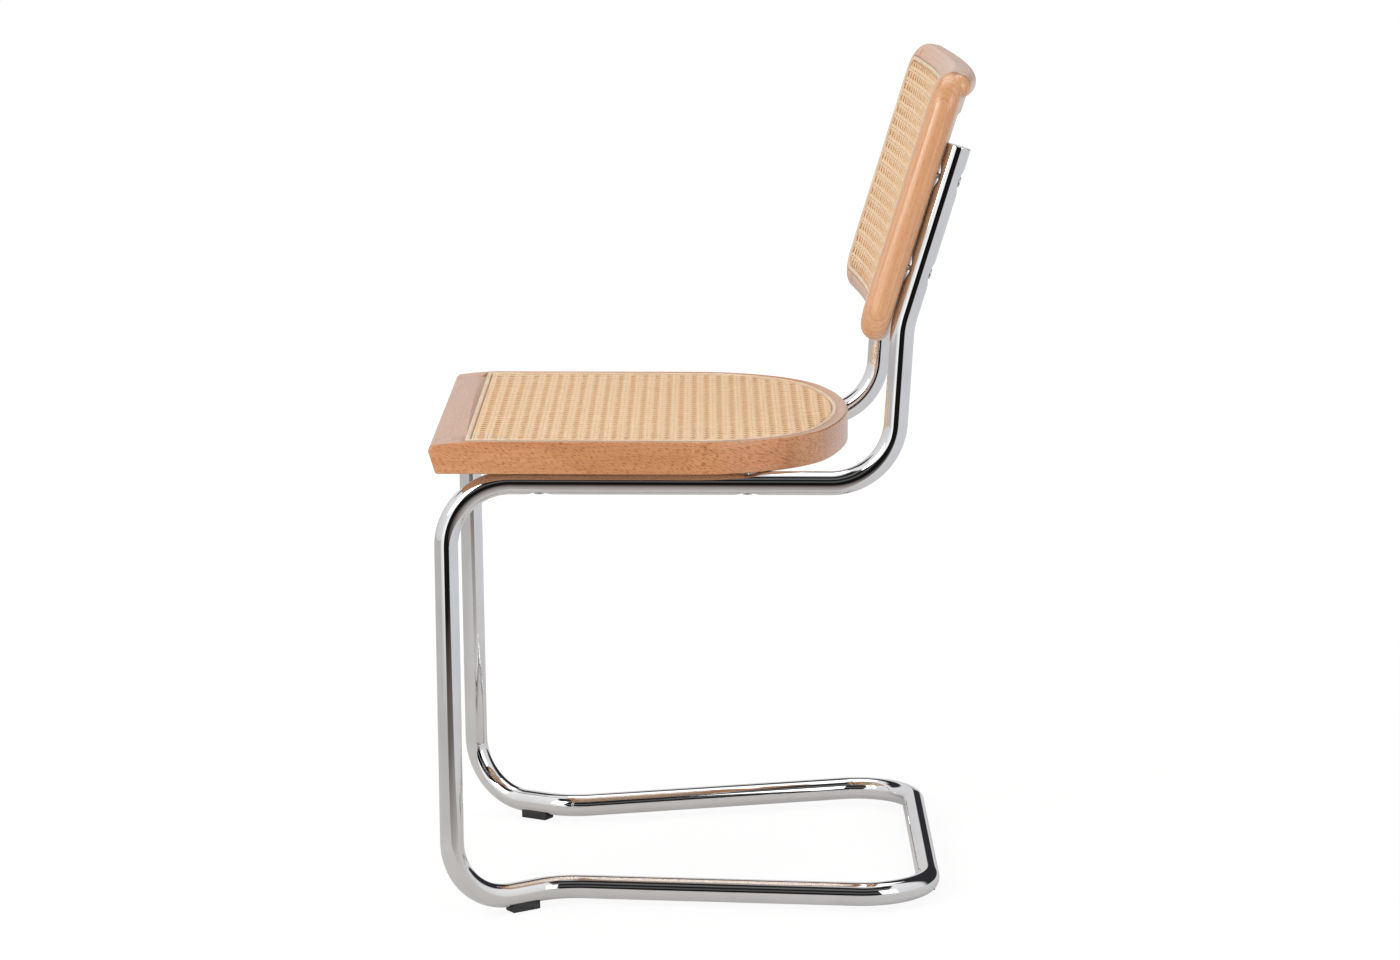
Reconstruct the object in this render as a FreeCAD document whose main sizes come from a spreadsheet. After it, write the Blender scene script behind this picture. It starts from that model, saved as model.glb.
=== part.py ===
"""Cantilever dining chair: one bent chromed tube, a beech seat frame and a beech back frame with cane.

Frame of the model: +Z up, floor at Z = 0, X across the chair, the sitter faces -Y.
Y = 0 is the front bend of the seat rails, X = 0 the middle plane.
"""
import FreeCAD, Part
import math
import os
import re
import Sketcher
from FreeCAD import Placement, Rotation, Vector

doc = FreeCAD.newDocument("cantilever_chair")

# Driving dimensions in millimetres and degrees
SIZES = [
    ("tube_diameter", 23, "outside diameter of the frame tube"),
    ("tube_wall", 2, "wall of the frame tube"),
    ("bend_radius", 62, "centre line radius of the main bends"),
    ("kink_radius", 78, "centre line radius of the small bend in each upright"),
    ("rail_inset", 23, "side of the seat to the centre of the rail under it"),
    ("rail_height", 431, "seat rail centre above the floor at the front bend"),
    ("rail_length", 426.5, "front bend to rear bend of a seat rail"),
    ("seat_tilt", 1.4, "fall of the seat and its rails to the rear, degrees"),
    ("upright_lean", 4.7, "lean of the upright under the back, degrees"),
    ("kink_height", 573, "height of the small bend in the upright"),
    ("back_lean", 18.2, "lean of the upright behind the back, degrees"),
    ("upright_reach", 176, "small bend to the open end of the tube"),
    ("leg_setback", 4.4, "foot of the front leg ahead of its top"),
    ("foot_splay", 14, "foot of the front leg outside its top"),
    ("waist_tuck", 50, "waist of the base inside the seat rail"),
    ("waist_setback", 95, "front bend line to the waist"),
    ("base_depth", 459, "front bend line to the rear crossbar"),
    ("base_splay", 15.5, "rear corner of the base outside the seat rail"),
    ("glide_height", 5.6, "floor to the underside of the tube"),
    ("glide_length", 30, "glide along the tube"),
    ("glide_width", 15, "glide across the tube"),
    ("glide_wrap", 4, "height of the glide's saddle beside the tube"),
    ("glide_edge", 1, "rounding of the glide's rim"),
    ("glide_stem", 6, "diameter of the stem that snaps into the tube"),
    ("glide_stem_length", 6, "stem above the underside of the tube"),
    ("front_glide_reach", 78, "front foot bend to the middle of a front glide"),
    ("rear_glide_spacing", 250, "between the glides under the crossbar"),
    ("cap_thickness", 1.6, "head of the tube end cap"),
    ("cap_edge", 0.6, "chamfer of the cap's rim"),
    ("cap_spigot", 10, "length of the cap inside the tube"),
    ("cap_play", 0.05, "radial play of the cap's spigot"),
    ("crimp_depth", 2.4, "depth of a pressed flat in the tube"),
    ("crimp_radius", 24, "radius of the tool that presses the flat"),
    ("contact_gap", 0.2, "clearance between the tube and the wood"),
    ("seat_front", 14, "front bend line to the tip of the seat"),
    ("seat_width", 460, "seat across"),
    ("seat_depth", 405.5, "seat front to rear"),
    ("seat_thickness", 31, "seat frame top to bottom"),
    ("seat_corner_radius", 140, "rear corners of the seat in plan"),
    ("seat_bow_radius", 420, "bowed rear edge of the seat in plan"),
    ("seat_land", 11, "seat edge to the spline groove"),
    ("nose_land", 34, "seat front to the spline groove"),
    ("seat_frame_width", 36, "side and rear members of the seat frame"),
    ("nose_frame_width", 62, "front member of the seat frame"),
    ("nose_run", 50, "length of the falling top of the front rail"),
    ("nose_drop", 4, "fall of the top of the front rail"),
    ("nose_radius", 6, "rounding of the front edge"),
    ("nose_undercut", 6.5, "front face set back at the bottom"),
    ("seat_arris", 1.5, "bevel of the seat's top and bottom edges"),
    ("seat_joint_setback", 250, "seat tip to the joint of side rail and rear bow"),
    ("groove_depth", 8, "depth of the spline groove"),
    ("spline_width", 4.3, "spline across"),
    ("spline_depth", 7, "spline below the cane"),
    ("spline_crown", 0.5, "spline standing proud of the wood"),
    ("cane_thickness", 1.2, "woven cane sheet"),
    ("cane_tuck", 6, "cane edge turned down into the groove"),
    ("mesh_pitch", 38.1, "openings of the cane grid, each for three holes of the weave"),
    ("mesh_opening", 21, "side of each opening of the cane grid"),
    ("seat_mesh_rows", 8, "rows of openings in the seat, front to rear"),
    ("back_mesh_rows", 5, "rows of openings in the back, bottom to top"),
    ("mesh_columns", 10, "columns of openings across the chair"),
    ("ledge_relief", 0.2, "ledge below the cane sheet"),
    ("front_screw_reach", 90, "front bend line to the front seat screw"),
    ("seat_screw_spacing", 199, "front seat screw to rear seat screw"),
    ("screw_diameter", 5, "shank of every screw"),
    ("screw_head_diameter", 10, "head of every screw"),
    ("screw_head_height", 3, "head of every screw"),
    ("screw_grip", 16, "screw inside the wood"),
    ("screw_play", 0.25, "radial play of a screw in the tube"),
    ("insert_diameter", 9, "threaded insert in the wood"),
    ("insert_length", 15, "threaded insert in the wood"),
    ("insert_recess", 1.4, "threaded insert below the surface of the wood"),
    ("dowel_diameter", 8, "wooden dowel"),
    ("dowel_length", 30, "wooden dowel"),
    ("dowel_pitch", 18, "between the two dowels of a joint"),
    ("back_overhang", 18, "side of the back outside the centre of the tube"),
    ("back_height", 266, "back frame along its lean"),
    ("back_below_tip", 200, "open end of the tube to the bottom of the back"),
    ("back_thickness", 28, "back frame front to rear"),
    ("back_curve_radius", 1280, "front surface of the back in plan"),
    ("back_corner_radius", 36, "corners of the back frame"),
    ("back_frame_width", 38, "members of the back frame"),
    ("back_land", 17, "back frame edge to the spline groove"),
    ("back_front_rounding", 15, "front edge of the back frame"),
    ("back_rear_rounding", 11, "rear edge of the back frame"),
    ("back_joint_inset", 55, "side of the back to the joint of rail and stile"),
    ("back_inner_radius", 9, "inner corners of the back frame"),
    ("roll_radius", 11.5, "rolled bead behind the top rail"),
    ("roll_drop", 11.5, "centre of the bead below the top of the back"),
    ("roll_setback", 22, "centre of the bead behind the front surface"),
    ("roll_end_inset", 26, "side of the back to the centre of the bead's end"),
    ("upper_screw_drop", 31, "open end of the tube to the upper back screw"),
    ("back_screw_spacing", 91, "upper back screw to lower back screw"),
    ("back_dowel_setback", 17, "dowels of the back behind its front surface"),
    ("first_dowel_inset", 10, "edge of the wood to the first dowel of a joint"),
    ("seat_dowel_rise", 13, "dowels of the seat above its underside"),
]

# Places that follow from the driving dimensions
PLACES = [
    ("tube_radius", "tube_diameter / 2"),
    ("bore_radius", "tube_diameter / 2 - tube_wall"),
    ("seat_half", "seat_width / 2"),
    ("rail_x", "seat_half - rail_inset"),
    ("foot_x", "rail_x + foot_splay"),
    ("waist_x", "rail_x - waist_tuck"),
    ("base_x", "rail_x + base_splay"),
    ("base_z", "glide_height + tube_radius"),
    ("seat_bottom_z", "rail_height + (tube_radius + contact_gap) / cos(seat_tilt)"),
    ("seat_top", "seat_thickness"),
    ("groove_width", "spline_width + cane_thickness"),
    ("ledge_depth", "cane_thickness + ledge_relief"),
    ("screw_radius", "screw_diameter / 2"),
    ("insert_radius", "insert_diameter / 2"),
    ("screw_hole_radius", "screw_radius + screw_play"),
    ("dowel_radius", "dowel_diameter / 2"),
    ("head_radius", "screw_head_diameter / 2"),
    ("head_lift", "crimp_radius - sqrt(pow(crimp_radius; 2) - pow(head_radius; 2))"),
    ("head_seat", "tube_diameter - crimp_depth + head_lift + contact_gap"),
    ("screw_length", "head_seat + screw_grip"),
    ("crimp_offset", "tube_radius + crimp_radius - crimp_depth"),
    ("crimp_bore_radius", "crimp_radius + tube_wall"),
    ("back_half", "rail_x + back_overhang"),
    ("back_width", "back_half * 2"),
    ("back_tube_gap", "tube_radius + contact_gap"),
    ("back_joint_x", "back_half - back_joint_inset"),
    ("side_joint_x", "seat_half - seat_frame_width"),
    ("upper_screw_z", "back_below_tip - upper_screw_drop"),
    ("lower_screw_z", "upper_screw_z - back_screw_spacing"),
    ("back_curve_y", "-sqrt(pow(back_curve_radius + back_thickness + back_tube_gap; 2) - pow(rail_x; 2))"),
    ("roll_path_radius", "back_curve_radius + roll_setback"),
    ("roll_z", "back_height - roll_drop"),
    ("roll_end_x", "back_half - roll_end_inset"),
    ("roll_end_y", "back_curve_y + sqrt(pow(roll_path_radius; 2) - pow(roll_end_x; 2))"),
    ("rear_corner_z", "rail_height - rail_length * tan(seat_tilt)"),
    ("kink_y", "rail_length + (kink_height - rear_corner_z) * tan(upright_lean)"),
    ("tip_y", "kink_y + upright_reach * sin(back_lean)"),
    ("tip_z", "kink_height + upright_reach * cos(back_lean)"),
    ("back_foot_y", "tip_y - back_below_tip * sin(back_lean)"),
    ("back_foot_z", "tip_z - back_below_tip * cos(back_lean)"),
    ("front_screw_y", "seat_front + front_screw_reach + back_tube_gap * tan(seat_tilt)"),
    ("rear_screw_y", "front_screw_y + seat_screw_spacing"),
    ("glide_top", "glide_height + glide_wrap"),
    ("middle", "0"),
]

NAMES = {name for name, _, _ in SIZES}
PLACE_NAMES = {name for name, _ in PLACES}

sizes = doc.addObject("Spreadsheet::Sheet", "Sizes")
places = doc.addObject("Spreadsheet::Sheet", "Places")


def formula(text, home=None):
    """Put the sheet's name before each size or place in a formula."""
    def full(match):
        word = match.group()
        if word in NAMES:
            return "Sizes." + word
        if word in PLACE_NAMES:
            return word if home == "Places" else "Places." + word
        return word
    return re.sub(r"[a-z][a-z_0-9]*", full, text)


def fill_sheets():
    """Write the driving sizes as plain numbers and the places as formulas."""
    for row, (name, number, note) in enumerate(SIZES, start=1):
        sizes.set("A%d" % row, note)
        sizes.set("B%d" % row, str(number))
        sizes.setAlias("B%d" % row, name)
    for row, (name, text) in enumerate(PLACES, start=1):
        places.set("A%d" % row, name.replace("_", " "))
        places.set("B%d" % row, "=" + formula(text, "Places"))
        places.setAlias("B%d" % row, name)
    doc.recompute()


def ring_rows(prefix, rows):
    """Outlines set in from an edge: one row of places for each."""
    for ring, parts in rows.items():
        for part, text in parts.items():
            name = "%s_%s_%s" % (prefix, ring, part)
            PLACES.append((name, text))
            PLACE_NAMES.add(name)


def seat_ring(side, nose):
    """D-shaped outline of the seat, set in by side and at the front by nose."""
    return {
        "half": "seat_half - (%s)" % side,
        "front": "%s" % nose,
        "rear": "seat_depth - (%s)" % side,
        "corner": "seat_corner_radius - (%s)" % side,
        "bow": "seat_bow_radius - (%s)" % side,
    }


def back_ring(inset, corner):
    """Rounded rectangle of the back, set in by inset."""
    return {
        "half": "back_half - (%s)" % inset,
        "low": "%s" % inset,
        "high": "back_height - (%s)" % inset,
        "corner": corner,
    }


ring_rows("seat", {
    "edge": seat_ring("0", "0"),
    "groove": seat_ring("seat_land", "nose_land"),
    "tuck": seat_ring("seat_land + spline_width", "nose_land + spline_width"),
    "ledge": seat_ring("seat_land + groove_width", "nose_land + groove_width"),
    "open": seat_ring("seat_frame_width", "nose_frame_width"),
})
ring_rows("back", {
    "edge": back_ring("0", "back_corner_radius"),
    "groove": back_ring("back_land", "back_corner_radius - back_land"),
    "tuck": back_ring("back_land + spline_width", "back_corner_radius - back_land - spline_width"),
    "ledge": back_ring("back_land + groove_width", "back_corner_radius - back_land - groove_width"),
    "open": back_ring("back_frame_width", "back_inner_radius"),
})
fill_sheets()


def size(name):
    """Number of a size or a place."""
    sheet = sizes if name in NAMES else places
    return float(sheet.get(name))


def bind(thing, path, text):
    """Bind one property or constraint to a formula."""
    thing.setExpression(path, formula(text))


def make(kind, name, **bindings):
    """A document object with its sizes bound."""
    thing = doc.addObject(kind, name)
    for path, text in bindings.items():
        bind(thing, path, text)
    return thing


def settle(thing):
    """Place a piece built in the frame of the whole chair."""
    bind(thing, "Placement.Base.y", "-middle")
    return thing


def lay_seat(thing):
    """Place a piece of the seat: tilted about the front bend line, on the rails."""
    thing.Placement = Placement(Vector(0, 0, 0), Rotation(Vector(1, 0, 0), -1))
    bind(thing, "Placement.Rotation.Angle", "-seat_tilt")
    bind(thing, "Placement.Base.y", "-seat_front * cos(seat_tilt) - middle")
    bind(thing, "Placement.Base.z", "seat_bottom_z + seat_front * sin(seat_tilt)")
    return thing


def lay_back(thing):
    """Place a piece of the back: leaned like the tube behind it."""
    thing.Placement = Placement(Vector(0, 0, 0), Rotation(Vector(1, 0, 0), -1))
    bind(thing, "Placement.Rotation.Angle", "-back_lean")
    bind(thing, "Placement.Base.y", "back_foot_y - middle")
    bind(thing, "Placement.Base.z", "back_foot_z")
    return thing


# Frame tube

def tube_corners():
    """Corners of the right half of the tube's centre line, from the tip to the middle of the crossbar."""
    rail_x, base_z = size("rail_x"), size("base_z")
    return [
        Vector(rail_x, size("tip_y"), size("tip_z")),
        Vector(rail_x, size("kink_y"), size("kink_height")),
        Vector(rail_x, size("rail_length"), size("rear_corner_z")),
        Vector(rail_x, 0, size("rail_height")),
        Vector(size("foot_x"), -size("leg_setback"), base_z),
        Vector(size("waist_x"), size("waist_setback"), base_z),
        Vector(size("base_x"), size("base_depth"), base_z),
    ]


def mirrored(points):
    """The same points on the other side of the chair."""
    return [Vector(-p.x, p.y, p.z) for p in points]


def rounded_path(points, radii):
    """Straight runs joined by tangent arcs, one radius for each inner corner."""
    edges = []
    start = points[0]
    for before, corner, after, radius in zip(points, points[1:], points[2:], radii):
        back = (before - corner).normalize()
        ahead = (after - corner).normalize()
        half = back.getAngle(ahead) / 2
        reach = radius / math.tan(half)
        first = corner + back * reach
        last = corner + ahead * reach
        inward = (back + ahead).normalize()
        middle = corner + inward * (radius / math.sin(half) - radius)
        edges.append(Part.LineSegment(start, first).toShape())
        edges.append(Part.Arc(first, middle, last).toShape())
        start = last
    edges.append(Part.LineSegment(start, points[-1]).toShape())
    return Part.Wire(edges)


right_corners = tube_corners()
tube_tip = right_corners[0]
bends = [size("kink_radius")] + [size("bend_radius")] * 5
tube_run = doc.addObject("Part::Feature", "tube_centre_line")
tube_run.Shape = rounded_path(
    right_corners + list(reversed(mirrored(right_corners))), bends + list(reversed(bends)))


def swept(name, radius):
    """A round bar of the given radius along the tube's centre line."""
    section = make("Part::Circle", name + "_section", Radius=radius)
    lean = Rotation(Vector(0, 0, 1), right_corners[1] - right_corners[0])
    section.Placement = Placement(tube_tip, lean)
    sweep = doc.addObject("Part::Sweep", name)
    sweep.Sections = [section]
    sweep.Spine = (tube_run, [])
    sweep.Solid = True
    sweep.Frenet = False
    return sweep


def screw_stations():
    """Point on the tube's axis and direction into the wood for each screw, right side only."""
    tilt, lean = math.radians(size("seat_tilt")), math.radians(size("back_lean"))
    rail_x = size("rail_x")
    stations = []
    for reach in (size("front_screw_reach"), size("front_screw_reach") + size("seat_screw_spacing")):
        point = Vector(rail_x, reach * math.cos(tilt), size("rail_height") - reach * math.sin(tilt))
        stations.append((point, Vector(0, math.sin(tilt), math.cos(tilt))))
    for drop in (size("upper_screw_drop"), size("upper_screw_drop") + size("back_screw_spacing")):
        point = tube_tip - Vector(0, math.sin(lean), math.cos(lean)) * drop
        stations.append((point, Vector(0, -math.cos(lean), math.sin(lean))))
    return stations


def crimp_tools(name, radius):
    """Cross rods that press a flat into both faces of the tube at each screw."""
    rods = []
    across = Rotation(Vector(0, 0, 1), Vector(1, 0, 0))
    for point, into_wood in screw_stations():
        for side in (1, -1):
            for mirror in (1, -1):
                middle = point + into_wood * (side * size("crimp_offset"))
                rod = make("Part::Cylinder", name, Radius=radius, Height="tube_diameter * 2")
                base = Vector(mirror * middle.x - size("tube_diameter"), middle.y, middle.z)
                rod.Placement = Placement(base, across)
                rods.append(rod)
    group = doc.addObject("Part::Compound", name + "_group")
    group.Links = rods
    return group


def screw_holes():
    """Rods through both walls of the tube at each screw."""
    rods = []
    for point, into_wood in screw_stations():
        for mirror in (1, -1):
            rod = make("Part::Cylinder", "tube_screw_hole", Radius="screw_hole_radius", Height="tube_diameter * 2")
            start = Vector(mirror * point.x, point.y, point.z) - into_wood * size("tube_diameter")
            rod.Placement = Placement(start, Rotation(Vector(0, 0, 1), into_wood))
            rods.append(rod)
    return rods


def glide_stations():
    """Middle of each glide on the floor, with the turn of the tube above it."""
    foot, waist = right_corners[4], right_corners[5]
    along = (waist - foot).normalize()
    front = foot + along * size("front_glide_reach")
    turn = math.degrees(math.atan2(along.y, along.x))
    rear_x, rear_y = size("rear_glide_spacing") / 2, size("base_depth")
    return [
        (Vector(front.x, front.y, 0), turn),
        (Vector(-front.x, front.y, 0), 180 - turn),
        (Vector(rear_x, rear_y, 0), 0),
        (Vector(-rear_x, rear_y, 0), 0),
    ]


def stem_holes():
    """Holes in the underside of the tube for the stems of the glides."""
    rods = []
    for point, _ in glide_stations():
        rod = make("Part::Cylinder", "tube_stem_hole", Radius="glide_stem / 2 + contact_gap", Height="base_z")
        rod.Placement.Base = point
        rods.append(rod)
    return rods


def joined(name, links):
    """Several objects as one compound."""
    group = doc.addObject("Part::Compound", name)
    group.Links = links
    return group


def cut(name, base, tool):
    """One object less another."""
    result = doc.addObject("Part::Cut", name)
    result.Base = base
    result.Tool = tool
    return result


def common(name, base, tool):
    """What two objects share."""
    result = doc.addObject("Part::Common", name)
    result.Base = base
    result.Tool = tool
    return result


def frame_tube():
    """Hollow tube with pressed flats and holes, left and right ends open."""
    outside = cut("tube_outside", swept("tube_bar", "tube_radius"), crimp_tools("crimp_rod", "crimp_radius"))
    inside = cut("tube_inside", swept("tube_bore", "bore_radius"),
                 crimp_tools("crimp_core", "crimp_bore_radius"))
    shell = cut("tube_shell", outside, inside)
    return cut("frame_tube", shell, joined("tube_holes", screw_holes() + stem_holes()))


# Small turned and moulded pieces

def plane_of(body, role):
    """One of the body's own origin planes."""
    return next(o for o in body.Origin.OriginFeatures if o.Role == role)


def new_sketch(body, name, role):
    """A sketch on one of the body's own origin planes."""
    sketch = body.newObject("Sketcher::SketchObject", name)
    sketch.AttachmentSupport = [(plane_of(body, role), "")]
    sketch.MapMode = "FlatFace"
    return sketch


def polygon(sketch, points):
    """A closed outline of straight lines whose corners are bound to formulas.

    Each point is a pair of formulas, and none may be negative."""
    numbers = [(cell_value(x), cell_value(y)) for x, y in points]
    count = len(points)
    first = sketch.GeometryCount
    for index in range(count):
        start = Vector(*numbers[index], 0)
        end = Vector(*numbers[(index + 1) % count], 0)
        sketch.addGeometry(Part.LineSegment(start, end), False)
    for index in range(count):
        following = (index + 1) % count
        sketch.addConstraint(Sketcher.Constraint("Coincident", first + index, 2, first + following, 1))
    for index, (x, y) in enumerate(points):
        for kind, text, number in (("DistanceX", x, numbers[index][0]), ("DistanceY", y, numbers[index][1])):
            place = sketch.addConstraint(
                Sketcher.Constraint(kind, -1, 1, first + index, 1, number))
            bind(sketch, "Constraints[%d]" % place, text)
    return first


scratch = doc.addObject("Part::Box", "formula_reader")


def cell_value(text):
    """Number of a formula of sizes and places."""
    scratch.setExpression("Placement.Base.x", formula(text))
    scratch.recompute()
    return scratch.Placement.Base.x


def link_ends(sketch, pairs, kind):
    """Join the end of one curve to the start of another for each pair."""
    for one, other in pairs:
        sketch.addConstraint(Sketcher.Constraint(kind, one, 2, other, 1))


def measure(sketch, kind, text, *places_on_sketch):
    """One sketch dimension bound to a formula."""
    number = cell_value(text)
    index = sketch.addConstraint(Sketcher.Constraint(kind, *places_on_sketch, number))
    bind(sketch, "Constraints[%d]" % index, text)


ORIGIN = (-1, 1)
UP_AXIS = -2


def arc(x, y, radius, first, last):
    """Arc of a circle between two angles in radians."""
    circle = Part.Circle(Vector(x, y, 0), Vector(0, 0, 1), radius)
    return Part.ArcOfCircle(circle, first, last)


def d_outline(sketch, ring):
    """Seat outline: straight front and sides, round rear corners and a bowed rear."""
    half, front, rear, corner, bow = (
        cell_value("seat_%s_%s" % (ring, part)) for part in ("half", "front", "rear", "corner", "bow"))
    across = half - corner
    bow_y = rear - bow
    corner_y = bow_y + math.sqrt((bow - corner) ** 2 - across ** 2)
    turn = math.atan2(corner_y - bow_y, across)
    sketch.addGeometry([
        Part.LineSegment(Vector(-half, front, 0), Vector(half, front, 0)),
        Part.LineSegment(Vector(half, front, 0), Vector(half, corner_y, 0)),
        arc(across, corner_y, corner, 0, turn),
        arc(0, bow_y, bow, turn, math.pi - turn),
        arc(-across, corner_y, corner, math.pi - turn, math.pi),
        Part.LineSegment(Vector(-half, corner_y, 0), Vector(-half, front, 0)),
    ], False)
    crown = sketch.addGeometry(Part.Point(Vector(0, rear, 0)), True)
    link_ends(sketch, [(0, 1), (5, 0)], "Coincident")
    link_ends(sketch, [(1, 2), (2, 3), (3, 4), (4, 5)], "Tangent")
    for side in (1, 5):
        sketch.addConstraint(Sketcher.Constraint("Vertical", side))
    sketch.addConstraint(Sketcher.Constraint("Symmetric", 0, 1, 0, 2, UP_AXIS))
    sketch.addConstraint(Sketcher.Constraint("Equal", 2, 4))
    sketch.addConstraint(Sketcher.Constraint("PointOnObject", 3, 3, UP_AXIS))
    sketch.addConstraint(Sketcher.Constraint("PointOnObject", crown, 1, UP_AXIS))
    sketch.addConstraint(Sketcher.Constraint("PointOnObject", crown, 1, 3))
    name = "seat_%s_" % ring
    measure(sketch, "DistanceX", name + "half", *ORIGIN, 0, 2)
    measure(sketch, "DistanceY", name + "front", *ORIGIN, 0, 2)
    measure(sketch, "DistanceY", name + "rear", *ORIGIN, crown, 1)
    measure(sketch, "Radius", name + "corner", 2)
    measure(sketch, "Radius", name + "bow", 3)


def back_outline(sketch, ring):
    """Back outline: a rectangle with four equal round corners."""
    half, low, high, corner = (
        cell_value("back_%s_%s" % (ring, part)) for part in ("half", "low", "high", "corner"))
    x, bottom, top = half - corner, low + corner, high - corner
    quarter = math.pi / 2
    sketch.addGeometry([
        Part.LineSegment(Vector(-x, low, 0), Vector(x, low, 0)),
        arc(x, bottom, corner, -quarter, 0),
        Part.LineSegment(Vector(half, bottom, 0), Vector(half, top, 0)),
        arc(x, top, corner, 0, quarter),
        Part.LineSegment(Vector(x, high, 0), Vector(-x, high, 0)),
        arc(-x, top, corner, quarter, 2 * quarter),
        Part.LineSegment(Vector(-half, top, 0), Vector(-half, bottom, 0)),
        arc(-x, bottom, corner, 2 * quarter, 3 * quarter),
    ], False)
    link_ends(sketch, [(n, (n + 1) % 8) for n in range(8)], "Tangent")
    sketch.addConstraint(Sketcher.Constraint("Horizontal", 4))
    for side in (2, 6):
        sketch.addConstraint(Sketcher.Constraint("Vertical", side))
    sketch.addConstraint(Sketcher.Constraint("Symmetric", 0, 1, 0, 2, UP_AXIS))
    for other in (3, 5, 7):
        sketch.addConstraint(Sketcher.Constraint("Equal", 1, other))
    name = "back_%s_" % ring
    measure(sketch, "DistanceX", name + "half", *ORIGIN, 2, 1)
    measure(sketch, "DistanceY", name + "low", *ORIGIN, 0, 2)
    measure(sketch, "DistanceY", name + "high", *ORIGIN, 4, 1)
    measure(sketch, "Radius", name + "corner", 1)


def padded(name, role, outline, ring, length, centred=False):
    """A body: one outline padded to a bound length."""
    body = doc.addObject("PartDesign::Body", name)
    sketch = new_sketch(body, name + "_outline", role)
    outline(sketch, ring)
    pad = body.newObject("PartDesign::Pad", name + "_pad")
    pad.Profile = sketch
    if centred:
        pad.Midplane = True
    bind(pad, "Length", length)
    return body


def seat_plate(ring, low, high):
    """Flat plate with a seat outline between two heights over the underside of the seat."""
    plate = padded("seat_%s_plate" % ring, "XY_Plane", d_outline, ring, "(%s) - (%s)" % (high, low))
    bind(plate, "Placement.Base.z", low)
    return plate


def block(name, x, y, z):
    """A box between bound limits on each axis."""
    box = doc.addObject("Part::Box", name)
    for axis, side, (low, high) in (("x", "Length", x), ("y", "Width", y), ("z", "Height", z)):
        bind(box, "Placement.Base." + axis, low)
        bind(box, side, "(%s) - (%s)" % (high, low))
    return box


def peg(name, radius, length, start, direction):
    """A round peg from a start point along a direction."""
    rod = make("Part::Cylinder", name, Radius=radius, Height=length)
    rod.Placement = Placement(start, Rotation(Vector(0, 0, 1), direction))
    return rod


# Seat

def nose_cut(body):
    """Falling top and undercut face of the front edge, cut across the blank."""
    sketch = new_sketch(body, "nose_profile", "YZ_Plane")
    run, top, drop = (cell_value(n) for n in ("nose_run", "seat_top", "nose_drop"))
    fall_radius = (run ** 2 + drop ** 2) / (2 * drop)
    quarter = math.pi / 2
    sweep = math.asin(run / fall_radius)
    sketch.addGeometry([
        arc(run, top - fall_radius, fall_radius, quarter, quarter + sweep),
        Part.LineSegment(Vector(0, top - drop, 0), Vector(0, top, 0)),
        Part.LineSegment(Vector(0, top, 0), Vector(run, top, 0)),
    ], False)
    link_ends(sketch, [(0, 1), (1, 2)], "Coincident")
    link_ends(sketch, [(2, 0)], "Tangent")
    sketch.addConstraint(Sketcher.Constraint("PointOnObject", 1, 2, UP_AXIS))
    sketch.addConstraint(Sketcher.Constraint("Vertical", 1))
    sketch.addConstraint(Sketcher.Constraint("Horizontal", 2))
    measure(sketch, "DistanceY", "seat_top - nose_drop", *ORIGIN, 1, 1)
    measure(sketch, "DistanceY", "seat_top", *ORIGIN, 1, 2)
    measure(sketch, "DistanceX", "nose_run", *ORIGIN, 2, 2)
    through(body, sketch)
    face = new_sketch(body, "nose_undercut_profile", "YZ_Plane")
    polygon(face, [("0", "0"), ("nose_undercut", "0"), ("0", "seat_top - nose_drop - nose_radius")])
    through(body, face)


def through(body, sketch):
    """Pocket a profile across the whole body."""
    pocket = body.newObject("PartDesign::Pocket", sketch.Name + "_cut")
    pocket.Profile = sketch
    pocket.Midplane = True
    pocket.Type = "ThroughAll"


def dress(body, kind, path, amount, test):
    """Fillet or chamfer the edges of a body that pass a test."""
    doc.recompute()
    before = body.Tip
    names = ["Edge%d" % n for n, edge in enumerate(before.Shape.Edges, start=1) if test(edge)]
    dressing = body.newObject("PartDesign::" + kind, kind.lower())
    dressing.Base = (before, names)
    bind(dressing, path, amount)


def fillet(body, radius, test):
    """Round the edges of a body that pass a test."""
    dress(body, "Fillet", "Radius", radius, test)


def near(one, other):
    """True for numbers that agree within a hundredth of a millimetre."""
    return abs(one - other) < 0.01


def seat_blank():
    """Solid seat plan with the shaped and rounded edges, before it is split into members."""
    body = padded("seat_blank", "XY_Plane", d_outline, "edge", "seat_thickness")
    nose_cut(body)
    top, width = size("seat_top"), size("seat_width")
    nose_z = top - size("nose_drop")

    def nose_edge(edge):
        box = edge.BoundBox
        return near(box.ZMin, nose_z) and near(box.ZMax, nose_z)

    def rim_edge(edge):
        box = edge.BoundBox
        return near(box.ZMax, 0) or (box.XLength < width - 1 and box.ZLength < top - 1)

    fillet(body, "nose_radius", nose_edge)
    dress(body, "Chamfer", "Size", "seat_arris", rim_edge)
    return body


def seat_groove():
    """Everything cut out of the seat blank under the cane: opening, ledge and spline groove."""
    above = "seat_top + nose_drop"
    ring = cut("seat_groove_ring",
               seat_plate("groove", "seat_top - groove_depth", above),
               seat_plate("ledge", "0", "seat_top * 2"))
    ledge = seat_plate("groove", "seat_top - ledge_depth", above)
    opening = seat_plate("open", "-seat_top", above)
    return [ring, ledge, opening]


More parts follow.
